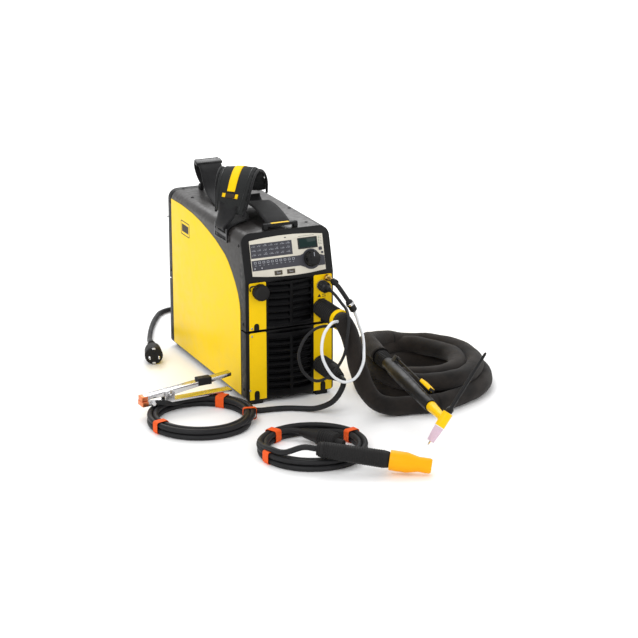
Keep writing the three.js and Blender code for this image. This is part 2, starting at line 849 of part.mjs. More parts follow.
function torchBackCap() {
  const profile = [[0, 14.3], [7, 14.3], [7, 22], [4, 26], [3.2, 120], [2.6, 144], [0, 147]];
  return turned(profile, 14, CAP_DIRECTION, ELBOW);
}

// Work lead and its clamp, which lies across the coil.
function workLead() {
  const points = [
    [SOCKET_X, -301.8, PLUS_Z],
    [SOCKET_X, -312, PLUS_Z],
    [64, -324, 60],
    [54, -330, 46],
    [36, -324, 24],
    [14, -302, 9],
    [-10, -282, 6],
    [-50, -262, 6],
    [-80, -257.5, 6],
    [-102.6, -257, 6],
  ];
  return tube(points, LEAD_D, 8, 1.6);
}

const clamp = new THREE.Group();
clamp.position.set(-209, -178, WORK_COIL.height + GAP);
clamp.rotation.z = rad(4);
part.add(clamp);
const CLAMP_PIVOT = { x: -40, z: 18 };

function clampLower() {
  const side = polygon([
    [-98, 0],
    [95, 0],
    [95, 4],
    [-84, 4],
    [-86, 9.5],
    [-98, 9.5],
  ]);
  const arm = alongY(side, -11, 11);
  const ears = [-1, 1].map((s) => slab(-50, -30, s > 0 ? 8.6 : -11, s > 0 ? 11 : -8.6, 2, 24));
  const pin = rod(2.4, 20, 12, [0, 1, 0], [CLAMP_PIVOT.x, -10, CLAMP_PIVOT.z]);
  return join(arm, ...ears, pin);
}

function clampUpper() {
  const side = polygon([
    [-98, 9.9],
    [-88, 9.9],
    [-80, 13],
    [-34, 13],
    [95, 32],
    [95, 39],
    [-38, 25],
    [-92, 20],
    [-98, 16],
  ]);
  const hole = rod(2.8, 24, 12, [0, 1, 0], [CLAMP_PIVOT.x, -12, CLAMP_PIVOT.z]);
  return cut(alongY(side, -8.2, 8.2), hole);
}

// Mains lead: gland to the coil behind the case, then along the floor to the plug.
function mainsLead() {
  const points = [
    [GLAND_X, REAR + 26.4, GLAND_Z],
    [GLAND_X, REAR + 37, GLAND_Z],
    [54, 264, 73],
    [65, 281, 58],
    [80, 295, 46],
    [104, 309, 39],
  ];
  return tube(points, MAINS_D, 8, 1.6);
}

function mainsTail() {
  const points = [
    [42, 412, 6],
    [12, 424, 6],
    [-16, 427, 6],
    [-42, 413, 6],
    [-62, 386, 6],
    [-92, 332, 6],
    [-118, 275, 6],
    [-136, 228, 9],
    [-145, 196, 18],
    [-150.3, 178.7, 19.3],
  ];
  return tube(points, MAINS_D, 8);
}

// The plug lies on its side, drawn along -Y in a group turned towards the front left.
const mainsEnd = new THREE.Group();
mainsEnd.position.set(-150.5, 178, 19.3);
mainsEnd.rotation.z = rad(-16.5);
part.add(mainsEnd);

function mainsPlug() {
  const profile = [[0, 0], [7, 0], [9, 30], [17, 42], [19, 78], [17, 80], [0, 80]];
  const body = turned(profile, 20, [0, -1, 0], [0, 0, 0]);
  const pins = [-1, 1].map((side) => rod(2.4, 27, 10, [0, -1, 0], [side * 9.5, -72, 0]));
  return join(body, ...pins);
}

// Electrode holder set: coil, loose cable plug inside it, and the holder over its rim.
const HOLDER_START = [-111, -582, 43];
const HOLDER_AXIS = [0.855, -0.505, -0.121];

function holderPlug() {
  const profile = [[0, 0], [8, 0], [13.5, 40], [16, 44], [16, 82], [6.5, 83], [6.5, 100], [0, 100]];
  return turned(profile, 16, [0.48, -0.877, 0.0], [-73, -428, 16.5]);
}

function holderHandle() {
  const profile = [[0, 0], [11, 0], [14.5, 8], [15.5, 30], [16.5, 125], [15, 134], [0, 134]];
  return turned(profile, 16, HOLDER_AXIS, HOLDER_START);
}

function holderHead() {
  const profile = [[0, 134.4], [19, 134.4], [19, 166], [14, 188], [14.5, 208], [12.5, 212], [0, 212]];
  return turned(profile, 16, HOLDER_AXIS, HOLDER_START);
}

add("upper_cover", "graphite", upperCover());
add("lower_cover", "graphite", lowerCover());
add("upper_deck", "steel", upperDeck());
add("front_bezel_upper", "black", upperBezel());
add("front_bezel_lower", "black", lowerBezel());
add("grille_upper", "black", grille(UPPER_BASE + 5 + GAP, KINK_Z - 7 - GAP));
add("grille_lower", "black", grille(FLOOR_GAP + 6 + GAP, LOWER_TOP - 5 - GAP));
add("rear_panel_upper", "black", upperRear());
add("rear_panel_lower", "black", lowerRear());
add("control_panel", "cream", controlPanel(), panel);
add("display_window", "glass", displayWindow(), panel);
add("encoder_knob", "black", encoderKnob(), panel);
for (const [name, x] of Object.entries(KEY_X)) {
  add(name, "black", controlKey(x), panel);
}
add("remote_socket_cap", "rubber", remoteCap());
add("control_socket", "steel", controlSocket());
add("gas_outlet", "brass", gasOutlet());
add("minus_socket", "black", weldSocket(MINUS_Z));
add("plus_socket", "black", weldSocket(PLUS_Z));
add("mains_switch_knob", "black", mainsSwitchKnob());
add("mains_gland", "black", mainsGland());
add("gas_inlet", "brass", gasInlet());
add("fan_frame", "black", fanFrame());
add("fan_rotor", "black", fanRotor());
add("heatsink", "aluminium", heatsink());
add("inverter_board", "green", inverterBoard());
add("transformer", "copper", transformer());
add("ac_module", "aluminium", acModule());
add("strap_anchor_front", "black", strapAnchor(-ANCHOR_Y, 36));
add("strap_anchor_rear", "black", strapAnchor(ANCHOR_Y, 32));
add("strap_pad", "fabric", strapPad());
add("strap_webbing_front", "fabric", frontWebbing());
add("strap_webbing_rear", "fabric", rearWebbing());
add("strap_buckle", "black", strapBuckle());
add("torch_plug", "rubber", torchPlug());
add("torch_hose", "fabric", torchHose());
add("torch_hose_coil", "fabric", coil(HOSE_COIL, 14, 30));
add("torch_hose_end", "fabric", torchHoseEnd());
add("torch_handle", "black", torchHandle(), torch);
add("torch_trigger", "yellow", torchTrigger(), torch);
add("torch_head", "yellow", torchHead(), torch);
add("torch_nozzle", "ceramic", torchNozzle(), torch);
add("torch_back_cap", "black", torchBackCap(), torch);
add("control_plug", "rubber", controlPlug());
add("control_lead", "rubber", controlLead());
add("gas_coupling", "rubber", gasCoupling());
add("gas_hose", "white", gasHose());
add("work_plug", "rubber", weldPlug(PLUS_Z, 86, 8));
add("work_lead", "rubber", workLead());
add("work_lead_coil", "rubber", coil(WORK_COIL, 4, 26));
add("clamp_lower_jaw", "steel", clampLower(), clamp);
add("clamp_upper_jaw", "steel", clampUpper(), clamp);
add("mains_lead", "rubber", mainsLead());
add("mains_lead_coil", "rubber", coil(MAINS_COIL, 4, 20));
add("mains_lead_tail", "rubber", mainsTail());
add("mains_plug", "rubber", mainsPlug(), mainsEnd);
add("holder_lead_coil", "rubber", coil(HOLDER_COIL, 4, 26));
add("holder_plug", "rubber", holderPlug());
add("holder_handle", "black", holderHandle());
add("holder_head", "orange", holderHead());

export default part;
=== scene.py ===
"""Portable AC/DC TIG welding machine with its torch, leads, electrode holder and strap."""

import json
import math
import random

import bmesh
import bpy
from mathutils import Matrix, Vector

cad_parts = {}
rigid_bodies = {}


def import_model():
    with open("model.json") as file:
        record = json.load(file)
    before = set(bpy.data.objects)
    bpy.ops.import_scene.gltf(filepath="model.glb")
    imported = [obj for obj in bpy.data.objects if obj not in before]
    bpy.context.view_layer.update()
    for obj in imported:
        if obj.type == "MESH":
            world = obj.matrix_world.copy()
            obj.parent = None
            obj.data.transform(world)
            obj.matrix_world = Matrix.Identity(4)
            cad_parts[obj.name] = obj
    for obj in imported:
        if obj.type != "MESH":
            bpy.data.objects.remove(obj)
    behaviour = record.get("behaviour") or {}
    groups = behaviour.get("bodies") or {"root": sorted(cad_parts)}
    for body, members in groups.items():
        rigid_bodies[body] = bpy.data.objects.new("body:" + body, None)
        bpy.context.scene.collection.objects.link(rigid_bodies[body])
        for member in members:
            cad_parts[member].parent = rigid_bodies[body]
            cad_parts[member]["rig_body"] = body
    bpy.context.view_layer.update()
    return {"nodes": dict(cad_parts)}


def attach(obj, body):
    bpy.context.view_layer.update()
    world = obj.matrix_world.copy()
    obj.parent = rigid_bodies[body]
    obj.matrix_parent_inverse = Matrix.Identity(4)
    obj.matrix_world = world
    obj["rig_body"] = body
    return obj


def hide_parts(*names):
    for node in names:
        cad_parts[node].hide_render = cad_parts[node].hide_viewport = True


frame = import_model()
nodes = frame["nodes"]
MM = 0.001


# Studio: a pale floor, a soft box over the left shoulder, a weak one on the right and an even
# white surround. The camera is a long lens at hip height, left of the machine's front.
def deselect():
    if bpy.context.mode != "OBJECT":
        bpy.ops.object.mode_set(mode="OBJECT")
    bpy.ops.object.select_all(action="DESELECT")


def aim(thing, target):
    thing.rotation_euler = (Vector(target) - thing.location).to_track_quat("-Z", "Y").to_euler()


deselect()
bpy.ops.object.camera_add(location=(-1.6674, -4.0090, 1.5031))
camera = bpy.context.active_object
camera.data.sensor_width = 36
camera.data.lens = 124.63
camera.data.clip_end = 100
aim(camera, (0.15871, 0, 0.0853))
bpy.context.scene.camera = camera

bpy.ops.mesh.primitive_plane_add(size=30)
floor = bpy.context.active_object
floor.name = "studio_floor"
floor_paint = bpy.data.materials.new("studio_floor")
floor_paint.use_nodes = True
floor_paint.node_tree.nodes["Principled BSDF"].inputs["Base Color"].default_value = (0.97, 0.97, 0.97, 1)
floor_paint.node_tree.nodes["Principled BSDF"].inputs["Roughness"].default_value = 0.7
floor.data.materials.append(floor_paint)

for place, size, watts in (
    ((-3.2, -2.6, 3.6), 2.6, 75),
    ((2.6, -3.4, 2.4), 2.2, 30),
    ((0.8, 3.2, 3.6), 3.6, 130),
):
    bpy.ops.object.light_add(type="AREA", location=place)
    lamp = bpy.context.active_object
    lamp.data.size = size
    lamp.data.energy = watts
    aim(lamp, (0, 0.4, 0))

surround = bpy.data.worlds.new("surround")
surround.use_nodes = True
surround.node_tree.nodes["Background"].inputs["Color"].default_value = (1, 1, 1, 1)
surround.node_tree.nodes["Background"].inputs["Strength"].default_value = 0.85
bpy.context.scene.world = surround
bpy.context.scene.view_settings.view_transform = "Standard"
deselect()


# Covers: two bent steel sheets, the upper one open below and the lower one open above, with a
# satin graphite powder coat, and the zinc-plated deck plate that joins them.
def tone(colour, gain=1.0):
    return (*[min(1.0, c * gain) for c in colour], 1)


def finish(name, colour, roughness, spread=0.12, grain=60, bump=0.0, depth=0.0002, metallic=0.0, shine=0.2):
    """A solid finish: noise in the piece's own space varies its colour, gloss and surface."""
    material = bpy.data.materials.new(name)
    material.use_nodes = True
    tree = material.node_tree
    shader = tree.nodes["Principled BSDF"]
    shader.inputs["Metallic"].default_value = metallic
    shader.inputs["Specular IOR Level"].default_value = shine
    place = tree.nodes.new("ShaderNodeTexCoord")
    fine = tree.nodes.new("ShaderNodeTexNoise")
    fine.inputs["Scale"].default_value = grain
    fine.inputs["Detail"].default_value = 4
    broad = tree.nodes.new("ShaderNodeTexNoise")
    broad.inputs["Scale"].default_value = grain * 0.12
    broad.inputs["Detail"].default_value = 2
    both = tree.nodes.new("ShaderNodeMath")
    both.operation = "ADD"
    blend = tree.nodes.new("ShaderNodeMix")
    blend.data_type = "RGBA"
    blend.inputs["A"].default_value = tone(colour, 1 - spread)
    blend.inputs["B"].default_value = tone(colour, 1 + spread)
    half = tree.nodes.new("ShaderNodeMapRange")
    half.inputs["From Min"].default_value = 0.6
    half.inputs["From Max"].default_value = 1.4
    gloss = tree.nodes.new("ShaderNodeMapRange")
    gloss.inputs["From Min"].default_value = 0.3
    gloss.inputs["From Max"].default_value = 0.7
    gloss.inputs["To Min"].default_value = max(0.03, roughness - 0.08)
    gloss.inputs["To Max"].default_value = min(1.0, roughness + 0.08)
    link = tree.links.new
    link(place.outputs["Object"], fine.inputs["Vector"])
    link(place.outputs["Object"], broad.inputs["Vector"])
    link(fine.outputs["Fac"], both.inputs[0])
    link(broad.outputs["Fac"], both.inputs[1])
    link(both.outputs["Value"], half.inputs["Value"])
    link(half.outputs["Result"], blend.inputs["Factor"])
    link(blend.outputs["Result"], shader.inputs["Base Color"])
    link(broad.outputs["Fac"], gloss.inputs["Value"])
    link(gloss.outputs["Result"], shader.inputs["Roughness"])
    if bump:
        relief = tree.nodes.new("ShaderNodeBump")
        relief.inputs["Strength"].default_value = bump
        relief.inputs["Distance"].default_value = depth
        link(fine.outputs["Fac"], relief.inputs["Height"])
        link(relief.outputs["Normal"], shader.inputs["Normal"])
    return material


def coat(piece, material):
    """The piece, or the CAD node, has this material and no other."""
    piece.data.materials.clear()
    piece.data.materials.append(material)


def stand_in(node, material, bevel=0.0, round_off=32, name=None):
    """A copy of a CAD node with clean faces, broken edges and smooth round parts stands for it."""
    deselect()
    piece = bpy.data.objects.new(name or node + "_made", nodes[node].data.copy())
    bpy.context.scene.collection.objects.link(piece)
    bpy.context.view_layer.objects.active = piece
    piece.select_set(True)
    bpy.ops.object.mode_set(mode="EDIT")
    bpy.ops.mesh.select_all(action="SELECT")
    bpy.ops.mesh.remove_doubles(threshold=0.00001)
    bpy.ops.mesh.dissolve_limited(angle_limit=math.radians(0.6))
    bpy.ops.object.mode_set(mode="OBJECT")
    if bevel:
        edge = piece.modifiers.new("edge", "BEVEL")
        edge.width = bevel
        edge.segments = 2
        edge.limit_method = "ANGLE"
        edge.angle_limit = math.radians(round_off)
        bpy.ops.object.modifier_apply(modifier="edge")
    bpy.ops.object.shade_smooth_by_angle(angle=math.radians(round_off))
    coat(piece, material)
    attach(piece, nodes[node]["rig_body"])
    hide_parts(node)
    return piece


powder_coat = finish("powder_coat", (0.016, 0.0135, 0.0125), 0.4, 0.10, 900, 0.25, 0.00008, 0, 0.6)
zinc = finish("zinc", (0.55, 0.56, 0.57), 0.38, 0.08, 300, 0.1, 0.0001, 0.9)
stand_in("upper_cover", powder_coat, 0.0006)
stand_in("lower_cover", powder_coat, 0.0006)
coat(nodes["upper_deck"], zinc)

# Side skins: yellow painted steel skins riveted over both covers. The front edge sweeps down from
# the top rear corner in one curve and falls straight to the floor rail.
SKIN_T = 0.6
SKIN_EDGE = [
    (190, 328),
    (132, 329),
    (72, 326),
    (24, 320),
    (-21, 311),
    (-57, 302),
    (-85, 292),
    (-104, 285),
    (-121, 275),
    (-140, 259),
    (-158, 240),
    (-171, 222),
    (-179, 204),
    (-182.5, 186),
]
yellow_paint = finish("yellow_paint", (0.93, 0.63, 0.003), 0.36, 0.03, 420, 0.12, 0.00006, 0, 0.12)


def cut_out(name, outlines, thickness, right, up, origin, material, bevel=0.0):
    """A flat piece cut to its outlines, the first one outside and the others holes, laid in a
    plane whose axes are right and up, and standing out of it by its thickness."""
    deselect()
    drawing = bpy.data.curves.new(name, "CURVE")
    drawing.dimensions = "2D"
    drawing.fill_mode = "BOTH"
    drawing.extrude = thickness * MM / 2 - bevel * MM
    drawing.bevel_depth = bevel * MM
    drawing.offset = -bevel * MM
    for outline in outlines:
        spline = drawing.splines.new("POLY")
        spline.points.add(len(outline) - 1)
        spline.use_cyclic_u = True
        for point, (x, y) in zip(spline.points, outline):
            point.co = (x * MM, y * MM, 0, 1)
    piece = bpy.data.objects.new(name, drawing)
    bpy.context.scene.collection.objects.link(piece)
    bpy.context.view_layer.objects.active = piece
    piece.select_set(True)
    bpy.ops.object.convert(target="MESH")
    piece = bpy.context.active_object
    bpy.ops.object.mode_set(mode="EDIT")
    bpy.ops.mesh.select_all(action="SELECT")
    bpy.ops.mesh.remove_doubles(threshold=0.00001)
    bpy.ops.mesh.normals_make_consistent(inside=False)
    bpy.ops.object.mode_set(mode="OBJECT")
    right, up = Vector(right), Vector(up)
    out = right.cross(up)
    axes = Matrix((right, up, out)).transposed().to_4x4()
    lift = Vector(origin) * MM + out * (thickness * MM / 2)
    piece.data.transform(Matrix.Translation(lift) @ axes)
    bpy.ops.object.shade_smooth_by_angle(angle=math.radians(30))
    coat(piece, material)
    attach(piece, "machine")
    return piece


def arc(x, y, radius, start, stop, steps):
    """Points on an arc, with angles in degrees."""
    turns = [math.radians(start + (stop - start) * i / steps) for i in range(steps + 1)]
    return [(x + radius * math.cos(t), y + radius * math.sin(t)) for t in turns]


for side in (-1, 1):
    hand = "left" if side < 0 else "right"
    skin_outline = [(side * y, z) for y, z in [(-182.5, 14), (189, 14), *SKIN_EDGE]]
    skin = cut_out(
        "side_skin_" + hand,
        [skin_outline],
        SKIN_T,
        (0, side, 0),
        (0, 0, 1),
        (side * 94, 0, 0),
        yellow_paint,
        0.15,
    )


# Torch hose: water-free hose, gas tube and trigger wires in one textile sleeve, from the plug on
# the minus socket down to the floor, four turns in an oval coil, and up over it to the torch.
def smooth_line(points, step):
    """A Catmull-Rom curve through the points, in metres, with points about step apart."""
    anchors = [Vector(p) for p in points]
    anchors = [2 * anchors[0] - anchors[1], *anchors, 2 * anchors[-1] - anchors[-2]]
    fine = []
    for p0, p1, p2, p3 in zip(anchors, anchors[1:], anchors[2:], anchors[3:]):
        t1 = (p1 - p0).length ** 0.5
        t2 = t1 + (p2 - p1).length ** 0.5
        t3 = t2 + (p3 - p2).length ** 0.5
        for i in range(24):
            t = t1 + (t2 - t1) * i / 24
            a1 = p0 * ((t1 - t) / t1) + p1 * (t / t1)
            a2 = p1 * ((t2 - t) / (t2 - t1)) + p2 * ((t - t1) / (t2 - t1))
            a3 = p2 * ((t3 - t) / (t3 - t2)) + p3 * ((t - t2) / (t3 - t2))
            b1 = a1 * ((t2 - t) / t2) + a2 * (t / t2)
            b2 = a2 * ((t3 - t) / (t3 - t1)) + a3 * ((t - t1) / (t3 - t1))
            fine.append(b1 * ((t2 - t) / (t2 - t1)) + b2 * ((t - t1) / (t2 - t1)))
    fine.append(anchors[-2])
    gone = [0.0]
    for a, b in zip(fine, fine[1:]):
        gone.append(gone[-1] + (b - a).length)
    count = max(2, round(gone[-1] / step))
    line, k = [], 0
    for i in range(count + 1):
        want = gone[-1] * i / count
        while k < len(gone) - 2 and gone[k + 1] < want:
            k += 1
        share = (want - gone[k]) / max(gone[k + 1] - gone[k], 1e-9)
        line.append(fine[k].lerp(fine[k + 1], share))
    return line


def coil_turns(centre, stretch, stations, per_turn=18, wobble=0.6):
    """Points of a coil that lies on the floor, turned to the camera's azimuth. Each station gives
    turns from the right-hand side, the strand's radius and its height, and strands ease over
    from one to the next; a small wobble keeps them from being machine-wound."""
    turn = math.radians(-24.5)
    points = []
    count = round((stations[-1][0] - stations[0][0]) * per_turn)
    for i in range(count + 1):
        at = stations[0][0] + (stations[-1][0] - stations[0][0]) * i / count
        for (t0, r0, z0), (t1, r1, z1) in zip(stations, stations[1:]):
            if at <= t1 + 1e-9:
                share = (at - t0) / max(t1 - t0, 1e-9)
                share = share * share * (3 - 2 * share)
                radius, height = r0 + (r1 - r0) * share, z0 + (z1 - z0) * share
                break
        radius += wobble * math.sin(9.2 * at + 1.3) + wobble * 0.6 * math.sin(21.7 * at)
        x = radius * math.cos(math.tau * at)
        y = radius * stretch * math.sin(math.tau * at)
        points.append(
            (
                centre[0] + x * math.cos(turn) - y * math.sin(turn),
                centre[1] + x * math.sin(turn) + y * math.cos(turn),
                height,
            )
        )
    return points


def millimetres(points):
    return [Vector(p) * MM for p in points]


def swept(name, line, sides, radius_at, material):
    """A closed tube along a line, whose radius may change along it and round it, with a UV map in
    metres: u round the tube and v along it."""
    mesh = bpy.data.meshes.new(name)
    build = bmesh.new()
    layer = build.loops.layers.uv.new("along")
    tangent = (line[1] - line[0]).normalized()
    side = tangent.orthogonal().normalized()
    rings, gone = [], 0.0
    for i, point in enumerate(line):
        ahead = line[min(i + 1, len(line) - 1)] - line[max(i - 1, 0)]
        ahead.normalize()
        side = (side - ahead * side.dot(ahead)).normalized()
        up = ahead.cross(side)
        gone += (point - line[i - 1]).length if i else 0.0
        ring = []
        for k in range(sides):
            a = math.tau * k / sides
            r = radius_at(gone, a)
            ring.append(build.verts.new(point + (side * math.cos(a) + up * math.sin(a)) * r))
        rings.append((ring, gone))
    girth = math.tau * radius_at(0.0, 0.0)
    for (low, v0), (high, v1) in zip(rings, rings[1:]):
        for k in range(sides):
            n = (k + 1) % sides
            face = build.faces.new((low[k], low[n], high[n], high[k]))
            face.smooth = True
            u0, u1 = girth * k / sides, girth * (k + 1) / sides
            for loop, uv in zip(face.loops, ((u0, v0), (u1, v0), (u1, v1), (u0, v1))):
                loop[layer].uv = uv
    build.faces.new(list(reversed(rings[0][0])))
    build.faces.new(rings[-1][0])
    build.to_mesh(mesh)
    build.free()
    piece = bpy.data.objects.new(name, mesh)
    bpy.context.scene.collection.objects.link(piece)
    mesh.materials.append(material)
    return piece


def textile(name, dark, light, pitch, roughness, relief=0.0003, mottle=9.0, seam=0.0):
    """Woven cloth on a UV map in metres: a plain weave at the pitch given, broad soft staining,
    and, where seam is given, a darker sewn line every so many metres along."""
    material = bpy.data.materials.new(name)
    material.use_nodes = True
    tree = material.node_tree
    shader = tree.nodes["Principled BSDF"]
    shader.inputs["Roughness"].default_value = roughness
    shader.inputs["Sheen Weight"].default_value = 0.08
    shader.inputs["Specular IOR Level"].default_value = 0.18
    shader.inputs["Sheen Roughness"].default_value = 0.5
    link = tree.links.new
    chart = tree.nodes.new("ShaderNodeUVMap")
    chart.uv_map = "along"
    split = tree.nodes.new("ShaderNodeSeparateXYZ")
    link(chart.outputs["UV"], split.inputs["Vector"])
    waves = []
    for axis in ("X", "Y"):
        count = tree.nodes.new("ShaderNodeMath")
        count.operation = "MULTIPLY"
        count.inputs[1].default_value = math.pi / pitch
        wave = tree.nodes.new("ShaderNodeMath")
        wave.operation = "SINE"
        link(split.outputs[axis], count.inputs[0])
        link(count.outputs["Value"], wave.inputs[0])
        waves.append(wave)
    weave = tree.nodes.new("ShaderNodeMath")
    weave.operation = "MULTIPLY"
    link(waves[0].outputs["Value"], weave.inputs[0])
    link(waves[1].outputs["Value"], weave.inputs[1])
    place = tree.nodes.new("ShaderNodeTexCoord")
    stain = tree.nodes.new("ShaderNodeTexNoise")
    stain.inputs["Scale"].default_value = mottle
    stain.inputs["Detail"].default_value = 6
    stain.inputs["Roughness"].default_value = 0.6
    link(place.outputs["Object"], stain.inputs["Vector"])
    spread = tree.nodes.new("ShaderNodeMapRange")
    spread.inputs["From Min"].default_value = 0.35
    spread.inputs["From Max"].default_value = 0.65
    link(stain.outputs["Fac"], spread.inputs["Value"])
    shade = tree.nodes.new("ShaderNodeMath")
    shade.operation = "MULTIPLY_ADD"
    shade.inputs[1].default_value = 0.18
    link(weave.outputs["Value"], shade.inputs[0])
    link(spread.outputs["Result"], shade.inputs[2])
    blend = tree.nodes.new("ShaderNodeMix")
    blend.data_type = "RGBA"
    blend.inputs["A"].default_value = tone(dark)
    blend.inputs["B"].default_value = tone(light)
    link(shade.outputs["Value"], blend.inputs["Factor"])
    colour = blend.outputs["Result"]
    height = weave.outputs["Value"]
    if seam:
        part = tree.nodes.new("ShaderNodeMath")
        part.operation = "PINGPONG"
        part.inputs[1].default_value = seam / 2
        link(split.outputs["Y"], part.inputs[0])
        line = tree.nodes.new("ShaderNodeMapRange")
        line.inputs["From Max"].default_value = 0.0035
        link(part.outputs["Value"], line.inputs["Value"])
        sewn = tree.nodes.new("ShaderNodeMix")
        sewn.data_type = "RGBA"
        sewn.inputs["A"].default_value = tone(dark, 0.35)
        link(line.outputs["Result"], sewn.inputs["Factor"])
        link(colour, sewn.inputs["B"])
        colour = sewn.outputs["Result"]
    link(colour, shader.inputs["Base Color"])
    bump = tree.nodes.new("ShaderNodeBump")
    bump.inputs["Strength"].default_value = 0.6
    bump.inputs["Distance"].default_value = relief
    link(height, bump.inputs["Height"])
    link(bump.outputs["Normal"], shader.inputs["Normal"])
    return material


HOSE_D = 35
HOSE_COIL = (282, -236)
HOSE_DROP = [
    (68, -303.7, 183),
    (68, -309, 183),
    (68, -316, 182),
    (73, -333, 160),
    (78, -337, 138),
    (82, -338, 118),
    (90, -342, 84),
    (101, -352, 50),
    (112, -366, 32),
    (136, -379, 21),
]
HOSE_TURNS = [
    (-0.285, 153, 18.5),
    (-0.16, 123.5, 17.6),
    (0.55, 123.5, 17.6),
    (0.78, 88, 17.6),
    (1.45, 88, 17.6),
    (1.74, 71, 47.5),
    (2.16, 71, 47.8),
    (2.38, 106, 48.2),
    (3.28, 106, 48.2),
    (3.415, 108, 71),
]
HOSE_REAR = [(190, -166, 82.5), (186, -191, 82.5), (182, -215, 82.5), (177, -240, 82.5), (173.3, -264, 82.5)]
hose_points = HOSE_DROP + coil_turns(HOSE_COIL, 170 / 141, HOSE_TURNS, 16, 1.2) + HOSE_REAR
hose_line = smooth_line(millimetres(hose_points), 0.009)


def sleeve_radius(along, angle):
    """The sleeve is loose: it wrinkles along its length and is fuller on one side."""
    ripple = 0.55 * math.sin(61 * along + 2 * math.sin(angle)) + 0.4 * math.sin(143 * along + 3 * angle)
    return (HOSE_D / 2 + ripple * 0.9 + 0.7 * math.sin(angle * 2 + 9 * along)) * MM


SLEEVE_DARK, SLEEVE_LIGHT = (0.005, 0.0045, 0.0045), (0.026, 0.020, 0.016)
SLEEVE_WEAVE, SLEEVE_SEAM = 0.0016, 0.31
sleeve = textile("torch_sleeve", SLEEVE_DARK, SLEEVE_LIGHT, SLEEVE_WEAVE, 0.85, 0.0004, 11, SLEEVE_SEAM)
torch_cord = swept("torch_hose_sleeve", hose_line, 28, sleeve_radius, sleeve)
FLOOR_GAP = 0.3 * MM
for corner in torch_cord.data.vertices:
    corner.co.z = max(corner.co.z, FLOOR_GAP)
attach(torch_cord, "machine")
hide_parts("torch_hose", "torch_hose_coil", "torch_hose_end")


# Leads: rubber-sheathed welding cable and mains cable, thin torch wires in black, and the white
# gas hose of the torch. Each is a round cord along its own line.
def cord_curve(name, line, diameter, material):
    drawing = bpy.data.curves.new(name, "CURVE")
    drawing.dimensions = "3D"
    drawing.bevel_depth = diameter * MM / 2
    drawing.bevel_resolution = 4
    drawing.use_fill_caps = True
    spline = drawing.splines.new("POLY")
    spline.points.add(len(line) - 1)
    for point, place in zip(spline.points, line):
        point.co = (*place, 1)
    spline.use_smooth = True
    piece = bpy.data.objects.new(name, drawing)
    bpy.context.scene.collection.objects.link(piece)
    drawing.materials.append(material)
    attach(piece, "machine")
    return piece


cable_rubber = finish("cable_rubber", (0.014, 0.014, 0.015), 0.5, 0.35, 500, 0.35, 0.00012)
white_tube = finish("white_tube", (0.74, 0.76, 0.78), 0.3, 0.04, 200, 0.1, 0.00005)

CONTROL_ROUTE = [
    (68, -250.6, 230),
    (68, -258, 230),
    (72, -272, 223),
    (77, -286, 212),
    (75, -312, 207),
    (67, -340, 194),
    (58, -353, 168),
    (50, -354, 128),
    (24, -351, 93),
    (-5, -350, 84),
    (-31, -346, 104),
    (-41, -345, 140),
    (-28, -343, 170),
    (-2, -334, 184),
    (24, -322, 183),
    (44, -311, 176),
    (54, -308, 176),
]
GAS_ROUTE = [
    (108.8, -278.6, 188),
    (109, -281, 184.5),
    (110, -287, 178),
    (110, -294, 168),
    (108, -312, 157),
    (103, -330, 148),
    (94, -352, 132),
    (88, -362, 112),
    (70, -366, 85),
    (48, -366, 79),
    (27, -363, 90),
    (8, -361, 118),
    (2, -357, 143),
    (9, -351, 176),
    (26, -342, 191),
    (44.5, -325, 190),
    (54, -318, 187),
]
control_line = smooth_line(millimetres(CONTROL_ROUTE), 0.005)
gas_line = smooth_line(millimetres(GAS_ROUTE), 0.005)
control_cord = cord_curve("control_lead_wire", control_line, 6, cable_rubber)
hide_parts("control_lead")
gas_cord = cord_curve("gas_hose_tube", gas_line, 6, white_tube)
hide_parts("gas_hose")

LEAD_D = 11
WORK_COIL = (-209, -257)
WORK_START = [
    (68, -301.8, 65),
    (68, -307, 65),
    (68, -313, 64.5),
    (64, -324, 60),
    (54, -330, 46),
    (46, -328, 34),
    (36, -324, 24),
    (14, -302, 9),
    (-10, -282, 6),
    (-30, -271, 6),
    (-50, -265, 6),
    (-68, -262, 6),
    (-86, -259.5, 6),
    (-99, -251, 6),
]
WORK_TURNS = [
    (0.118, 101.5, 5.9),
    (0.20, 100.5, 5.9),
    (0.86, 100.5, 5.9),
    (1.07, 88.5, 5.9),
    (1.80, 88.5, 5.9),
    (2.03, 100.3, 17.2),
    (2.83, 100.3, 17.2),
    (3.05, 88.6, 17.2),
    (4.24, 88.0, 17.3),
]
WORK_END = [(-214, -174, 17.5), (-233, -182, 18.5), (-252, -190, 23), (-268, -194.5, 28), (-280, -196.5, 30)]
HOLDER_COIL = (-79, -493)
HOLDER_START = [
    (-73, -428, 16.5),
    (-76, -421, 16.6),
    (-84, -414.5, 16.8),
    (-96, -411.5, 17),
    (-110, -412, 17),
]
HOLDER_TURNS = [
    (0.437, 88.0, 17.0),
    (0.55, 87.5, 17.2),
    (1.05, 87.5, 17.2),
    (1.30, 87.5, 5.9),
    (2.15, 87.5, 5.9),
    (2.40, 99.0, 5.9),
    (3.15, 99.0, 5.9),
    (3.42, 99.2, 17.3),
    (4.45, 98.0, 17.5),
    (4.66, 97.0, 31.0),
]
HOLDER_END = [(-131, -570.2, 45.2), (-111, -582, 43)]
MAINS_D = 10.5
MAINS_COIL = (60, 335)
MAINS_START = [
    (50, 235.4, 82),
    (50, 240, 82),
    (50, 246, 81.4),
    (54, 264, 73),
    (65, 281, 58),
    (80, 295, 46),
    (104, 309, 39),
]
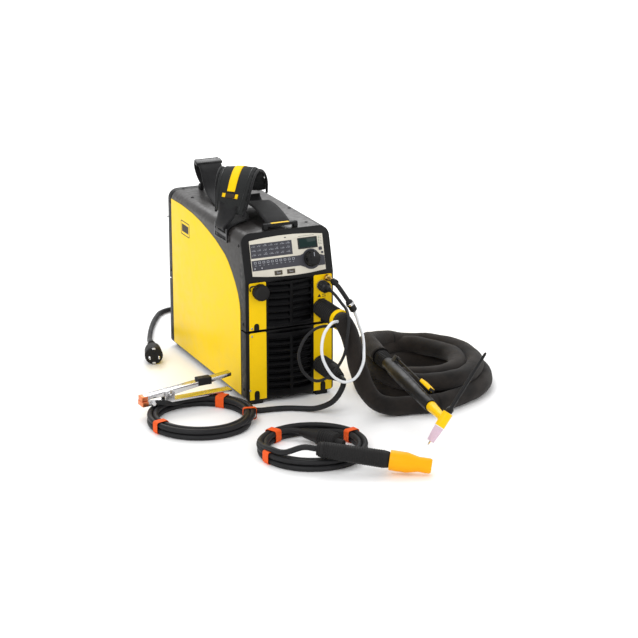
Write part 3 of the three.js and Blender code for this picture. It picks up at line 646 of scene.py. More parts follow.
MAINS_TURNS = [
    (0.02, 57, 38),
    (0.20, 57, 37.6),
    (0.42, 53.4, 27.4),
    (1.20, 53.4, 27.4),
    (1.42, 66.4, 27.4),
    (2.20, 66.4, 27.4),
    (2.42, 66.4, 16.4),
    (3.20, 66.4, 16.4),
    (3.42, 53.4, 16.4),
    (4.20, 53.4, 16.4),
    (4.42, 53.4, 5.5),
    (5.20, 53.4, 5.5),
    (5.42, 66.4, 5.5),
    (6.30, 66.4, 5.5),
]
MAINS_END = [
    (42, 412, 6),
    (12, 424, 6),
    (-16, 427, 6),
    (-42, 413, 6),
    (-62, 386, 6),
    (-92, 332, 6),
    (-118, 275, 6),
    (-136, 228, 9),
    (-145, 196, 18),
    (-150.3, 178.7, 19.3),
]
work_line = smooth_line(
    millimetres(WORK_START + coil_turns(WORK_COIL, 1, WORK_TURNS, 18, 0.5) + WORK_END), 0.007
)
holder_line = smooth_line(
    millimetres(HOLDER_START + coil_turns(HOLDER_COIL, 1, HOLDER_TURNS, 18, 0.5) + HOLDER_END), 0.007
)
mains_line = smooth_line(
    millimetres(MAINS_START + coil_turns(MAINS_COIL, 1, MAINS_TURNS, 14, 0.3) + MAINS_END), 0.006
)
work_cord = cord_curve("work_lead_cable", work_line, LEAD_D, cable_rubber)
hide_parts("work_lead", "work_lead_coil")
holder_cord = cord_curve("holder_lead_cable", holder_line, LEAD_D, cable_rubber)
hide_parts("holder_lead_coil")
mains_cord = cord_curve("mains_lead_cable", mains_line, MAINS_D, cable_rubber)
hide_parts("mains_lead", "mains_lead_coil", "mains_lead_tail")


# Front and rear frames: black glass-filled nylon mouldings with a fine spark-eroded grain, screwed
# to the covers. The louvred grilles between the stripes have sloping blades behind their slots.
frame_plastic = finish("frame_plastic", (0.0055, 0.0055, 0.006), 0.46, 0.2, 900, 0.35, 0.0001)
for node in ("front_bezel_upper", "front_bezel_lower", "rear_panel_upper", "rear_panel_lower"):
    stand_in(node, frame_plastic, 0.0012)
grille_plastic = finish("grille_plastic", (0.003, 0.003, 0.0035), 0.36, 0.2, 700, 0.2, 0.00008, 0, 0.1)
GRILLES = {"grille_upper": (158.3, 248.7, 6), "grille_lower": (14.3, 144.2, 9)}
GRILLE_HALF = 49.7
GRILLE_ARC = (GRILLE_HALF**2 + 10**2) / 20
for node, (bottom, top, rows) in GRILLES.items():
    stand_in(node, grille_plastic, 0.0007)
    first = bottom + (top - bottom - rows * 14 + 5) / 2
    blades = []
    for row in range(rows):
        deselect()
        bpy.ops.mesh.primitive_grid_add(x_subdivisions=16, y_subdivisions=2, size=1)
        blade = bpy.context.active_object
        for corner in blade.data.vertices:
            x = corner.co.x * 2 * (GRILLE_HALF - 3)
            bulge = -219 + GRILLE_ARC - math.sqrt(GRILLE_ARC**2 - x * x)
            reach = corner.co.y + 0.5
            corner.co = Vector((x, bulge + 2.2 + 9 * reach, first + row * 14 - 1 + 12 * reach)) * MM
        blades.append(blade)
    for blade in blades:
        blade.select_set(True)
    bpy.context.view_layer.objects.active = blades[0]
    bpy.ops.object.join()
    louvres = bpy.context.active_object
    louvres.name = node + "_blades"
    wall = louvres.modifiers.new("wall", "SOLIDIFY")
    wall.thickness = 0.001
    bpy.ops.object.modifier_apply(modifier="wall")
    bpy.ops.object.shade_smooth_by_angle(angle=math.radians(30))
    coat(louvres, grille_plastic)
    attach(louvres, "machine")

# Stripes: yellow inserts either side of the grilles, split at the seam between the units, with an
# arched notch at the foot of each for the frame's screw boss.
stripe_yellow = finish("stripe_yellow", (0.93, 0.60, 0.004), 0.34, 0.03, 400, 0.1, 0.00005, 0, 0.12)
NOTCH_X = {"left": -71, "right": 72}
STRIPE_X = {"left": (-86.5, -50.4), "right": (52, 91)}
STRIPE_Z = {"lower": (9.5, 148.6), "upper": (154, 251)}
for hand, (x0, x1) in STRIPE_X.items():
    boss_x = NOTCH_X[hand]
    for level, (z0, z1) in STRIPE_Z.items():
        rise = 13 if level == "lower" else 8
        outline = [
            *arc(x1 - 3, z1 - 3, 3, 0, 90, 4),
            *arc(x0 + 3, z1 - 3, 3, 90, 180, 4),
            (x0, z0),
            (boss_x - 5.5, z0),
            *arc(boss_x, z0 + rise, 5.5, 180, 0, 8),
            (boss_x + 5.5, z0),
            (x1, z0),
        ]
        stripe = cut_out(
            f"stripe_{hand}_{level}", [outline], 0.25, (1, 0, 0), (0, 0, 1), (0, -209, 0), stripe_yellow
        )
        boss_top = arc(boss_x, z0 + rise - 0.6, 4.4, 180, 0, 10)
        boss_outline = [(boss_x - 4.4, z0), *boss_top, (boss_x + 4.4, z0)]
        cut_out(
            f"screw_boss_{hand}_{level}",
            [list(reversed(boss_outline))],
            2.4,
            (1, 0, 0),
            (0, 0, 1),
            (0, -209, 0),
            frame_plastic,
            0.6,
        )


# Screws: zinc-plated cross-head screws with a domed head, through the covers, frames and skins.
def spun(name, profile, start, axis, steps, material, body="machine", smooth=35):
    """A turned piece: a profile of (radius, distance) pairs in millimetres is spun round its axis,
    which starts at a point and runs along a direction."""
    deselect()
    mesh = bpy.data.meshes.new(name)
    piece = bpy.data.objects.new(name, mesh)
    bpy.context.scene.collection.objects.link(piece)
    points = [(r * MM, 0, s * MM) for r, s in profile]
    mesh.from_pydata(points, [(i, i + 1) for i in range(len(points) - 1)], [])
    bpy.context.view_layer.objects.active = piece
    piece.select_set(True)
    bpy.ops.object.mode_set(mode="EDIT")
    bpy.ops.mesh.select_all(action="SELECT")
    bpy.ops.mesh.spin(steps=steps, angle=math.tau, center=(0, 0, 0), axis=(0, 0, 1))
    bpy.ops.mesh.select_all(action="SELECT")
    bpy.ops.mesh.remove_doubles(threshold=0.000004)
    bpy.ops.mesh.normals_make_consistent(inside=False)
    bpy.ops.object.mode_set(mode="OBJECT")
    bpy.ops.object.shade_smooth_by_angle(angle=math.radians(smooth))
    turn = Vector(axis).to_track_quat("Z", "Y").to_matrix().to_4x4()
    mesh.transform(Matrix.Translation(Vector(start) * MM) @ turn)
    coat(piece, material)
    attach(piece, body)
    return piece


def gathered(name, parts, body="machine"):
    """Small parts of one kind are joined into one piece."""
    deselect()
    for part in parts:
        part.select_set(True)
    bpy.context.view_layer.objects.active = parts[0]
    bpy.ops.object.join()
    piece = bpy.context.active_object
    piece.name = name
    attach(piece, body)
    return piece


screw_steel = finish("screw_steel", (0.42, 0.42, 0.43), 0.3, 0.15, 800, 0.1, 0.00005, 0.95)
black_screw = finish("black_screw", (0.02, 0.02, 0.021), 0.35, 0.2, 800, 0.1, 0.00005, 0.4)
SCREW_PROFILE = [(0, 0.5), (0.9, 0.9), (1.2, 1.7), (2.6, 1.5), (3.4, 0.9), (3.7, 0), (0, 0)]
TOP_SCREWS = [(61, -153), (-65, 195), (65, 195), (-74, -40), (74, -40), (-74, 120), (74, 120)]
FACE_SCREWS = [(-81, 142), (84, 142), (-81, 158), (84, 158), (-86, 30), (-81, 244)]
top_heads = [
    spun("screw", SCREW_PROFILE, (x, y, 345 - 0.2), (0, 0, 1), 14, black_screw) for x, y in TOP_SCREWS
]
gathered("cover_screws", top_heads)
SMALL_SCREW = [(r * 0.62, s * 0.7) for r, s in SCREW_PROFILE]
face_heads = [
    spun("screw", SMALL_SCREW, (x, -209.1, z), (0, -1, 0), 12, screw_steel)
    for x, z in FACE_SCREWS
]
gathered("face_screws", face_heads)
side_heads = [
    spun("screw", SCREW_PROFILE, (side * 93.9, y, z), (side, 0, 0), 14, black_screw)
    for side in (-1, 1)
    for y, z in ((-176, 320), (199, 320), (199, 170), (199, 30), (-196, 165), (-196, 30))
]
gathered("side_screws", side_heads)

# Blank nameplate: a printed frame with rounded corners round a plain block, in dark ink, on both
# side skins near the top rear.
mark_ink = finish("mark_ink", (0.035, 0.022, 0.012), 0.5, 0.3, 900)


def box_outline(x0, x1, z0, z1, r=0.0):
    if not r:
        return [(x0, z0), (x1, z0), (x1, z1), (x0, z1)]
    return [
        *arc(x1 - r, z0 + r, r, -90, 0, 3),
        *arc(x1 - r, z1 - r, r, 0, 90, 3),
        *arc(x0 + r, z1 - r, r, 90, 180, 3),
        *arc(x0 + r, z0 + r, r, 180, 270, 3),
    ]


for side in (-1, 1):
    middle = side * 111
    nameplate = [
        box_outline(middle - 24, middle + 24, 267, 297, 3),
        box_outline(middle - 22, middle + 22, 269, 295, 1.6),
        box_outline(middle - 18, middle + 18, 274, 290, 1),
    ]
    cut_out(
        "panel_mark_" + ("left" if side < 0 else "right"),
        nameplate,
        0.12,
        (0, side, 0),
        (0, 0, 1),
        (side * 94.6, 0, 0),
        mark_ink,
    )


# Control panel: a cream printed overlay on a plate that leans back, with two grey symbol fields,
# a display, an encoder knob, a row of keys and small indicator lamps.
TILT = math.atan2(22, 82)
PANEL_UP = (0, math.sin(TILT), math.cos(TILT))
PANEL_OUT = (0, -math.cos(TILT), math.sin(TILT))


def on_panel(x, z, lift=0.0):
    """A place on the panel's face, in millimetres, from its own x and height up the slope."""
    lift += 2.8
    return (
        x,
        -209 + z * math.sin(TILT) - lift * math.cos(TILT),
        256 + z * math.cos(TILT) + lift * math.sin(TILT),
    )


def panel_film(name, outlines, material, thickness=0.2, lift=0.0, bevel=0.0):
    return cut_out(name, outlines, thickness, (1, 0, 0), PANEL_UP, on_panel(0, 0, lift), material, bevel)


overlay_cream = finish("overlay_cream", (0.62, 0.585, 0.50), 0.4, 0.04, 700, 0.1, 0.00004)
field_grey = finish("field_grey", (0.052, 0.052, 0.062), 0.42, 0.12, 700, 0.1, 0.00004)
symbol_white = finish("symbol_white", (0.30, 0.31, 0.34), 0.5, 0.1, 700)
stand_in("control_panel", overlay_cream, 0.0004)
panel_film("symbol_field", [box_outline(-77.5, 11, 42.5, 70.5)], field_grey)
KNOB_X, KNOB_Z = 48.5, 29.5
icon_band = [
    (-77.5, 18),
    (24, 18),
    *arc(KNOB_X, KNOB_Z, 21, 228, 312, 12),
    (77.5, 14),
    (77.5, 33),
    *arc(KNOB_X, KNOB_Z, 19.5, 20, 145, 14),
    (26, 38.5),
    (-77.5, 38.5),
]
panel_film("icon_band", [icon_band], field_grey)

dice = random.Random(7)
symbols = []
for column in range(7):
    for row in range(3):
        x, z = -74.5 + column * 12.2, 64.6 - row * 8.4
        symbols.append(box_outline(x, x + 1.4, z, z + 1.4, 0.4))
        symbols.append(box_outline(x + 3, x + 3 + dice.uniform(3, 6.5), z + 0.2, z + 1.0))
        rise = dice.uniform(1.2, 3.2)
        symbols.append(box_outline(x + 3, x + 3.7, z + 1.5, z + 1.5 + rise))
        symbols.append(box_outline(x + 5.6, x + 6.3, z + 1.5, z + 1.5 + rise))
panel_film("field_symbols", symbols, symbol_white, 0.08, 0.2)
band_symbols = []
for column in range(10):
    x = -70 + column * 9
    band_symbols.append(box_outline(x - 2.6, x + 2.6, 31.5, 36.0, 0.8))
    band_symbols.append(box_outline(x - 1.7, x + 1.7, 32.4, 35.1, 0.5))
    band_symbols.append(box_outline(x - 1.2, x + dice.uniform(0.4, 2.6), 27.6, 28.6))
panel_film("band_symbols", band_symbols, symbol_white, 0.08, 0.2)

lamp_clear = finish("lamp_clear", (0.75, 0.77, 0.8), 0.2, 0.05, 500)
lamp_green = finish("lamp_green", (0.03, 0.16, 0.06), 0.25, 0.1, 500)
DOME = [(0, 0.9), (0.7, 0.7), (1.1, 0), (0, 0)]
lamps = [spun("lamp", DOME, on_panel(x, 22.5, 0.15), PANEL_OUT, 10, lamp_clear) for x in (-72, -57)]
gathered("status_lamps", lamps)
DOT = [(0, 0.6), (0.6, 0.5), (0.9, 0), (0, 0)]
UNITS = range(6)
dots = [spun("lamp", DOT, on_panel(69, 56 + k * 3), PANEL_OUT, 8, lamp_green) for k in UNITS]
gathered("unit_lamps", dots)
ticks = [box_outline(71, 75, 55.7 + k * 3, 56.3 + k * 3) for k in UNITS]
panel_film("unit_ticks", ticks, field_grey, 0.06)
side_keys = [box_outline(67, 74, 44, 50.5, 1.2), box_outline(71.5, 76, 37, 41, 1)]
panel_film("side_keys", side_keys, field_grey, 0.8, 0, 0.2)
heading_rule = [box_outline(26, 60, 75, 75.6), box_outline(-4, 0, 75.6, 77.6, 0.5)]
panel_film("heading_rule", heading_rule, field_grey, 0.06)

display_glass = finish("display_glass", (0.006, 0.022, 0.020), 0.12, 0.15, 200)
display_rim = finish("display_rim", (0.02, 0.022, 0.022), 0.35, 0.2, 600)
stand_in("display_window", display_glass, 0.0003)
rim_outer, rim_inner = box_outline(23.6, 65.4, 50, 72, 1), box_outline(26.5, 62.5, 52.5, 69.5, 0.6)
panel_film("display_rim", [rim_outer, rim_inner], display_rim, 0.35, 0.25, 0.08)

key_rubber = finish("key_rubber", (0.075, 0.062, 0.045), 0.6, 0.2, 700, 0.3, 0.00008)
for node, x in (("key_left", -23.5), ("key_right", 3.5)):
    stand_in(node, key_rubber, 0.0006)
    legend_bars = [box_outline(x - 4, x + 4, 8.6, 9.8), box_outline(x - 4, x - 2.5, 10.6, 12)]
    legend = panel_film(node + "_legend", legend_bars, symbol_white, 0.08, 1.4)
    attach(legend, nodes[node]["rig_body"])

# Encoder knob: a moulded knob with a skirt, a ring of grip ribs and a white pointer line.
knob_plastic = finish("knob_plastic", (0.008, 0.008, 0.0085), 0.28, 0.2, 500, 0.1, 0.00005)
stand_in("encoder_knob", knob_plastic, 0.0007, 26)
ribs = []
for k in range(26):
    a = math.tau * k / 26
    deselect()
    bpy.ops.mesh.primitive_cube_add(size=1)
    rib = bpy.context.active_object
    turn = Matrix.Rotation(a, 4, "Z") @ Matrix.Translation((14.1 * MM, 0, 0))
    rib.data.transform(turn @ Matrix.Diagonal((1.5 * MM, 1.0 * MM, 9.5 * MM, 1)))
    ribs.append(rib)
knob_ribs = gathered("encoder_knob_ribs", ribs, "encoder")
rounding = knob_ribs.modifiers.new("rounding", "BEVEL")
rounding.width = 0.0003
bpy.ops.object.modifier_apply(modifier="rounding")
knob_axes = Matrix((Vector((1, 0, 0)), Vector(PANEL_UP), Vector(PANEL_OUT))).transposed().to_4x4()
knob_ribs.data.transform(Matrix.Translation(Vector(on_panel(KNOB_X, KNOB_Z, 11.2)) * MM) @ knob_axes)
coat(knob_ribs, knob_plastic)
pointer_line = box_outline(KNOB_X - 0.7, KNOB_X + 0.7, 34, 41.5, 0.3)
pointer = panel_film("encoder_pointer", [pointer_line], symbol_white, 0.3, 18.4)
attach(pointer, "encoder")


# Front fittings: bayonet welding sockets, the torch's control socket and gas outlet, and the
# remote socket under a ribbed rubber cap on a tether.
socket_plastic = finish("socket_plastic", (0.012, 0.012, 0.013), 0.34, 0.2, 600, 0.2, 0.00006)
brass = finish("brass", (0.62, 0.42, 0.13), 0.3, 0.12, 400, 0.1, 0.00005, 0.95)
bright_steel = finish("bright_steel", (0.66, 0.66, 0.67), 0.22, 0.08, 260, 0.08, 0.00005, 1.0)
grip_rubber = finish("grip_rubber", (0.0115, 0.011, 0.011), 0.58, 0.3, 800, 0.35, 0.0001)
for node in ("minus_socket", "plus_socket"):
    stand_in(node, socket_plastic, 0.0006)
stand_in("control_socket", bright_steel, 0.0004)
stand_in("gas_outlet", brass, 0.0003)
stand_in("remote_socket_cap", grip_rubber, 0.001)
REMOTE = (-65, -209.3, 233)
cap_ribs = []
for k in range(16):
    a = math.tau * k / 16
    deselect()
    bpy.ops.mesh.primitive_cube_add(size=1)
    rib = bpy.context.active_object
    spot = Matrix.Translation(Vector(REMOTE) * MM) @ Matrix.Rotation(a, 4, "Y")
    shape = Matrix.Translation((15.4 * MM, -9 * MM, 0)) @ Matrix.Diagonal((1.8 * MM, 12 * MM, 2 * MM, 1))
    rib.data.transform(spot @ shape)
    coat(rib, grip_rubber)
    cap_ribs.append(rib)
cap_grip = gathered("remote_cap_ribs", cap_ribs)
rounding = cap_grip.modifiers.new("rounding", "BEVEL")
rounding.width = 0.0005
bpy.ops.object.modifier_apply(modifier="rounding")
TETHER = [(-75, -223, 243), (-80, -224, 249), (-86, -219, 247), (-86, -213, 240), (-84, -209.6, 236)]
tether_line = smooth_line(millimetres(TETHER), 0.0015)
tether = swept("remote_cap_tether", tether_line, 8, lambda along, angle: 1.4 * MM, grip_rubber)
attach(tether, "machine")
cut_out(
    "stripe_pictogram",
    [
        [(60, 205), (68, 205), (64, 212)],
        box_outline(70, 78, 205, 206.5),
        box_outline(70, 78, 209, 210.5),
        box_outline(60, 78, 200.5, 201.6),
    ],
    0.08,
    (1, 0, 0),
    (0, 0, 1),
    (0, -209.25, 0),
    mark_ink,
)


# Plugs: turned brass cores in moulded rubber bodies with finger grooves and a cable sleeve. The
# torch's plug ends in a yellow ring that clamps the sleeve.
def ringed(name, start, axis, places, radius, tube, material, body="machine"):
    """Raised rings round an axis, one at each distance, with the radius given for each."""
    rings = []
    for s, r in zip(places, radius):
        wave = [(r - 0.6 + tube * math.sin(math.pi * k / 6), s - tube + 2 * tube * k / 6) for k in range(7)]
        profile = [(r - 1.5, s - tube), *wave, (r - 1.5, s + tube), (r - 1.5, s - tube)]
        rings.append(spun("ring", profile, start, axis, 28, material, body))
    return gathered(name, rings, body)


SOCKET_FACE = -215.3
stand_in("torch_plug", grip_rubber, 0.0012)
stand_in("work_plug", grip_rubber, 0.001)
stand_in("control_plug", socket_plastic, 0.0006)
coupling_rubber = finish("coupling_rubber", (0.013, 0.013, 0.014), 0.42, 0.25, 600, 0.2, 0.0001)
stand_in("gas_coupling", coupling_rubber, 0.0005)
MINUS, PLUS = (68, SOCKET_FACE, 183), (68, SOCKET_FACE, 65)
FORWARD = (0, -1, 0)
GRIP_R = 17.2
torch_grooves = [8 + 7 * k for k in range(9)]
work_grooves = [7 + 6 * k for k in range(7)]
ringed("torch_plug_grip", MINUS, FORWARD, torch_grooves, [GRIP_R] * 9, 2.2, grip_rubber)
ringed("work_plug_grip", PLUS, FORWARD, work_grooves, [GRIP_R] * 7, 2.0, grip_rubber)
ringed("work_plug_boot", PLUS, FORWARD, [60, 67, 74, 81], [13.2, 11.6, 10.2, 9.0], 1.8, grip_rubber)
sleeve_ring = spun(
    "torch_plug_ring",
    [(18.2, 76.5), (20.2, 77.5), (20.2, 86.5), (19, 88.2), (17.8, 88.2), (17.8, 76.5), (18.2, 76.5)],
    MINUS,
    FORWARD,
    36,
    stripe_yellow,
)
ringed("control_plug_ring", (68, -213.8, 230), FORWARD, [4, 8, 12, 16], [10.8] * 4, 1.3, socket_plastic)
spun(
    "gas_coupling_collar",
    [(7.4, 5), (8.4, 6), (8.4, 10), (7.4, 11), (7.4, 5)],
    (96, -276, 212),
    (13, -3, -23),
    24,
    bright_steel,
)


# Rear fittings and the inside: the mains switch and cable gland, the gas inlet, the fan, and the
# power parts seen through the louvres.
stand_in("mains_switch_knob", socket_plastic, 0.0008)
stand_in("mains_gland", socket_plastic, 0.0005)
stand_in("gas_inlet", brass, 0.0003)
stand_in("fan_frame", frame_plastic, 0.0006)
stand_in("fan_rotor", grille_plastic, 0.0004)
heatsink_alu = finish("heatsink_alu", (0.50, 0.51, 0.52), 0.4, 0.1, 240, 0.15, 0.0001, 0.9, 0.5)
board_green = finish("board_green", (0.012, 0.075, 0.03), 0.4, 0.2, 300, 0.1, 0.00005)
core_iron = finish("core_iron", (0.09, 0.06, 0.045), 0.5, 0.25, 300, 0.3, 0.0001, 0.4)
coat(nodes["heatsink"], heatsink_alu)
coat(nodes["inverter_board"], board_green)
coat(nodes["transformer"], core_iron)
coat(nodes["ac_module"], heatsink_alu)
ringed("mains_gland_grip", (50, 209, 82), (0, 1, 0), [8, 12, 16], [12.6] * 3, 1.4, socket_plastic)
cut_out(
    "mains_switch_scale",
    [box_outline(-98, -90, 284, 286), box_outline(-73, -71, 284, 290), box_outline(-50, -46, 284, 286)],
    0.1,
    (-1, 0, 0),
    (0, 0, 1),
    (-144, 209, 0),
    symbol_white,
)

# Rating plate: a thin printed aluminium plate on the lower rear frame, with plain ruled rows.
LEFTWARD, UPWARD = (-1, 0, 0), (0, 0, 1)
plate = box_outline(8, 78, 24, 62, 2)
cut_out("rating_plate", [plate], 0.5, LEFTWARD, UPWARD, (0, 209, 0), heatsink_alu, 0.1)
rows = [box_outline(12, 12 + dice.uniform(25, 60), 29 + k * 5, 30.6 + k * 5) for k in range(6)]
cut_out("rating_rows", rows, 0.06, LEFTWARD, UPWARD, (0, 209.5, 0), mark_ink)


# Strap anchors: black nylon bars on two posts, screwed through the cover near both ends of it,
# the front one with a small yellow label.
stand_in("strap_anchor_front", frame_plastic, 0.0015)
stand_in("strap_anchor_rear", frame_plastic, 0.0015)
label_outline = box_outline(-24, 14, -177.5, -170.5, 0.6)
LABEL_HOME = (0, 0, 357.3)
anchor_label = cut_out("anchor_label", [label_outline], 0.2, (1, 0, 0), (0, 1, 0), LABEL_HOME, stripe_yellow)


# Strap webbing: woven polyester 50 mm wide, sewn to the pad and looped round each anchor bar.
# A band follows stations that give its centre and the direction across it.
def laid_out(stations, step):
    """The centre, the direction across, the outward direction and the distance gone, per row."""
    centres = smooth_line(millimetres([place for place, across in stations]), step)
    marks = millimetres([place for place, across in stations])
    rows, gone, lap = [], 0.0, 0
    for i, centre in enumerate(centres):
        while lap < len(marks) - 2 and (centre - marks[lap + 1]).dot(marks[lap + 1] - marks[lap]) > 0:
            lap += 1
        leg = marks[lap + 1] - marks[lap]
        share = min(1.0, max(0.0, (centre - marks[lap]).dot(leg) / leg.length_squared))
        across = Vector(stations[lap][1]).lerp(Vector(stations[lap + 1][1]), share)
        ahead = (centres[min(i + 1, len(centres) - 1)] - centres[max(i - 1, 0)]).normalized()
        across = (across - ahead * across.dot(ahead)).normalized()
        gone += (centre - centres[i - 1]).length if i else 0.0
        rows.append((centre, across, across.cross(ahead), gone))
    return rows


def band(name, stations, wide, thick, step, material, crown=0.0):
    """A strap of the width and thickness given, whose middle may be thicker by crown."""
    mesh = bpy.data.meshes.new(name)
    build = bmesh.new()
    layer = build.loops.layers.uv.new("along")
    rows = []
    for centre, across, face, gone in laid_out(stations, step):
        row = []
        for k in range(9):
            half = (thick / 2 + crown * (1 - (k / 4 - 1) ** 2)) * MM
            place = centre + across * (wide * MM * (k / 8 - 0.5))
            row.append((build.verts.new(place + face * half), build.verts.new(place - face * half)))
        rows.append((row, gone))
    for (low, v0), (high, v1) in zip(rows, rows[1:]):
        for k in range(8):
            u0, u1 = wide * MM * k / 8, wide * MM * (k + 1) / 8
            for side in (0, 1):
                skin = build.faces.new((low[k][side], low[k + 1][side], high[k + 1][side], high[k][side]))
                skin.smooth = True
                for loop, uv in zip(skin.loops, ((u0, v0), (u1, v0), (u1, v1), (u0, v1))):
                    loop[layer].uv = uv
        for k in (0, 8):
            build.faces.new((low[k][0], low[k][1], high[k][1], high[k][0]))
    for row in (rows[0][0], rows[-1][0]):
        for k in range(8):
            build.faces.new((row[k][0], row[k + 1][0], row[k + 1][1], row[k][1]))
    bmesh.ops.recalc_face_normals(build, faces=build.faces[:])
    build.to_mesh(mesh)
    build.free()
    piece = bpy.data.objects.new(name, mesh)
    bpy.context.scene.collection.objects.link(piece)
    mesh.materials.append(material)
    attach(piece, "machine")
    return piece


webbing = textile("webbing", (0.003, 0.003, 0.0035), (0.012, 0.012, 0.013), 0.0022, 0.75, 0.0003, 30)
ALONG_X, ALONG_Y = (1, 0, 0), (0, -1, 0)
REAR_STRAP = [
    ((-95.8, -96, 312), ALONG_Y),
    ((-95.8, -96, 326), ALONG_Y),
    ((-90.4, -96, 341.4), ALONG_Y),
    ((-74, -94, 348.3), ALONG_Y),
    ((-54, -72, 348.4), (0.6, -0.8, 0)),
    ((-41, -14, 348.4), ALONG_X),
    ((-33, 44, 349.6), ALONG_X),
    ((-27, 106, 364), ALONG_X),
    ((-22, 145, 398), ALONG_X),
    ((-18, 180, 408), ALONG_X),
    ((-11, 203, 388), ALONG_X),
    ((-6, 201, 366), ALONG_X),
    ((-5, 191, 357), ALONG_X),
    ((-5, 181.5, 354), ALONG_X),
]
FRONT_STRAP = [
    ((-5, -168, 354), ALONG_X),
    ((-5, -152, 360), ALONG_X),
    ((-3, -120, 366), ALONG_X),
    ((0, -80, 369), ALONG_X),
    ((4, -40, 366), ALONG_X),
    ((7, -10, 358), (1, -0.1, 0)),
    ((8.5, 6, 355), (1, -0.2, 0)),
    ((8, 15, 359), (0.95, -0.35, 0)),
    ((6.3, 15, 367.5), (0.9, -0.44, 0)),
]
TAB_STRAP = [
    ((-81.5, -96.6, 384), (0.5, -0.87, 0)),
    ((-87.6, -98.2, 366), (0.35, -0.93, 0)),
    ((-94, -97, 354), (0.15, -1, 0)),
    ((-99.5, -96, 345), ALONG_Y),
    ((-101, -96, 340), ALONG_Y),
    ((-99, -96, 335.5), ALONG_Y),
]
rear_band = band("strap_webbing_rear_made", REAR_STRAP, 49.6, 2.1, 0.006, webbing)
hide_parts("strap_webbing_rear")
front_band = band("strap_webbing_front_made", FRONT_STRAP, 49.6, 2.1, 0.006, webbing)
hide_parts("strap_webbing_front")
band("strap_webbing_tab", TAB_STRAP, 48, 2, 0.004, webbing)

# Strap buckle: an acetal ladder buckle that adjusts the strap's length, lying flat on the side
# below the upper left edge, and a plain keeper on the rear loop.
buckle_plastic = finish("buckle_plastic", (0.007, 0.007, 0.008), 0.32, 0.2, 500, 0.15, 0.00006, 0, 0.4)
stand_in("strap_buckle", buckle_plastic, 0.0008)
KEEPER_AXES = Matrix(((1, 0, 0), (0, 0.96, 0.28), (0, -0.28, 0.96))).transposed()
bpy.ops.mesh.primitive_cube_add(size=1)
keeper = bpy.context.active_object
keeper.name = "strap_keeper"
keeper.data.transform(Matrix.Diagonal((0.058, 0.016, 0.007, 1)))
rounding = keeper.modifiers.new("rounding", "BEVEL")
rounding.width = 0.0022
rounding.segments = 3
bpy.ops.object.modifier_apply(modifier="rounding")
bpy.ops.object.shade_smooth_by_angle(angle=math.radians(40))
keeper.data.transform(Matrix.Translation((-0.0205, 0.163, 0.4055)) @ KEEPER_AXES.to_4x4())
coat(keeper, buckle_plastic)
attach(keeper, "machine")


# Shoulder pad: foam in a woven cover with bound edges, a yellow stripe and a label. It starts as
# a thin crowned band, is swollen a little as cloth so that it puckers, and is set.
PAD_STATIONS = [
    ((-80, -96, 363), (0.35, -0.93, 0)),
    ((-73, -92, 386), (0.5, -0.87, 0)),
    ((-66, -86, 412), (0.62, -0.78, 0)),
    ((-50, -64, 433), (0.7, -0.71, 0)),
    ((-30, -34, 436), (0.75, -0.66, 0)),
    ((-8, -8, 422), (0.8, -0.6, 0)),
    ((4, 8, 398), (0.85, -0.53, 0)),
    ((6, 14, 374), (0.9, -0.44, 0)),
]
pad_cloth = finish("pad_cloth", (0.017, 0.018, 0.018), 0.85, 0.35, 900, 0.6, 0.0003)
pad = band("strap_pad_made", PAD_STATIONS, 76, 6, 0.006, pad_cloth, 2.2)
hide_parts("strap_pad")


def swell(piece, voxel, pressure, cap):
    """Cloth that is blown up over twenty frames, with no point moving further than the cap."""
    deselect()
    bpy.context.view_layer.objects.active = piece
    piece.select_set(True)
    grid = piece.modifiers.new("grid", "REMESH")
    grid.mode = "VOXEL"
    grid.voxel_size = voxel
    bpy.ops.object.modifier_apply(modifier="grid")
    start = [v.co.copy() for v in piece.data.vertices]
    cloth = piece.modifiers.new("cloth", "CLOTH")
    cloth.settings.use_pressure = True
    cloth.settings.uniform_pressure_force = pressure
    cloth.settings.effector_weights.gravity = 0
    for step in range(1, 21):
        bpy.context.scene.frame_set(step)
    bpy.ops.object.modifier_apply(modifier="cloth")
    for corner, home in zip(piece.data.vertices, start):
        shift = corner.co - home
        if shift.length > cap:
            corner.co = home + shift.normalized() * cap
    finer = piece.modifiers.new("finer", "SUBSURF")
    finer.levels = 1
    finer.render_levels = 1
    bpy.ops.object.modifier_apply(modifier="finer")
    bpy.ops.object.shade_smooth()
    bpy.context.scene.frame_set(1)


swell(pad, 0.005, 4, 0.005)


def sewn_on(name, start, stop, offset, wide, thick, material):
    """A strip laid on the pad's outer face, from one distance along it to another."""
    mesh = bpy.data.meshes.new(name)
    build = bmesh.new()
    rows = []
    for centre, across, face, gone in laid_out(PAD_STATIONS, 0.004):
        if start * MM <= gone <= stop * MM:
            spot = centre + face * 0.009 + across * offset * MM
            rows.append([build.verts.new(spot + across * wide * MM * (k / 4 - 0.5)) for k in range(5)])
    for low, high in zip(rows, rows[1:]):
        for k in range(4):
            build.faces.new((low[k], low[k + 1], high[k + 1], high[k])).smooth = True
    build.to_mesh(mesh)
    build.free()
    strip = bpy.data.objects.new(name, mesh)
    bpy.context.scene.collection.objects.link(strip)
    deselect()
    bpy.context.view_layer.objects.active = strip
    strip.select_set(True)
    wrap = strip.modifiers.new("wrap", "SHRINKWRAP")
    wrap.target = pad
    wrap.wrap_method = "NEAREST_SURFACEPOINT"
    wrap.wrap_mode = "ABOVE_SURFACE"
    wrap.offset = thick * MM * 0.6
    bpy.ops.object.modifier_apply(modifier="wrap")
    wall = strip.modifiers.new("wall", "SOLIDIFY")
    wall.thickness = thick * MM
    wall.offset = 0
    bpy.ops.object.modifier_apply(modifier="wall")
    coat(strip, material)
    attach(strip, "machine")
    return strip


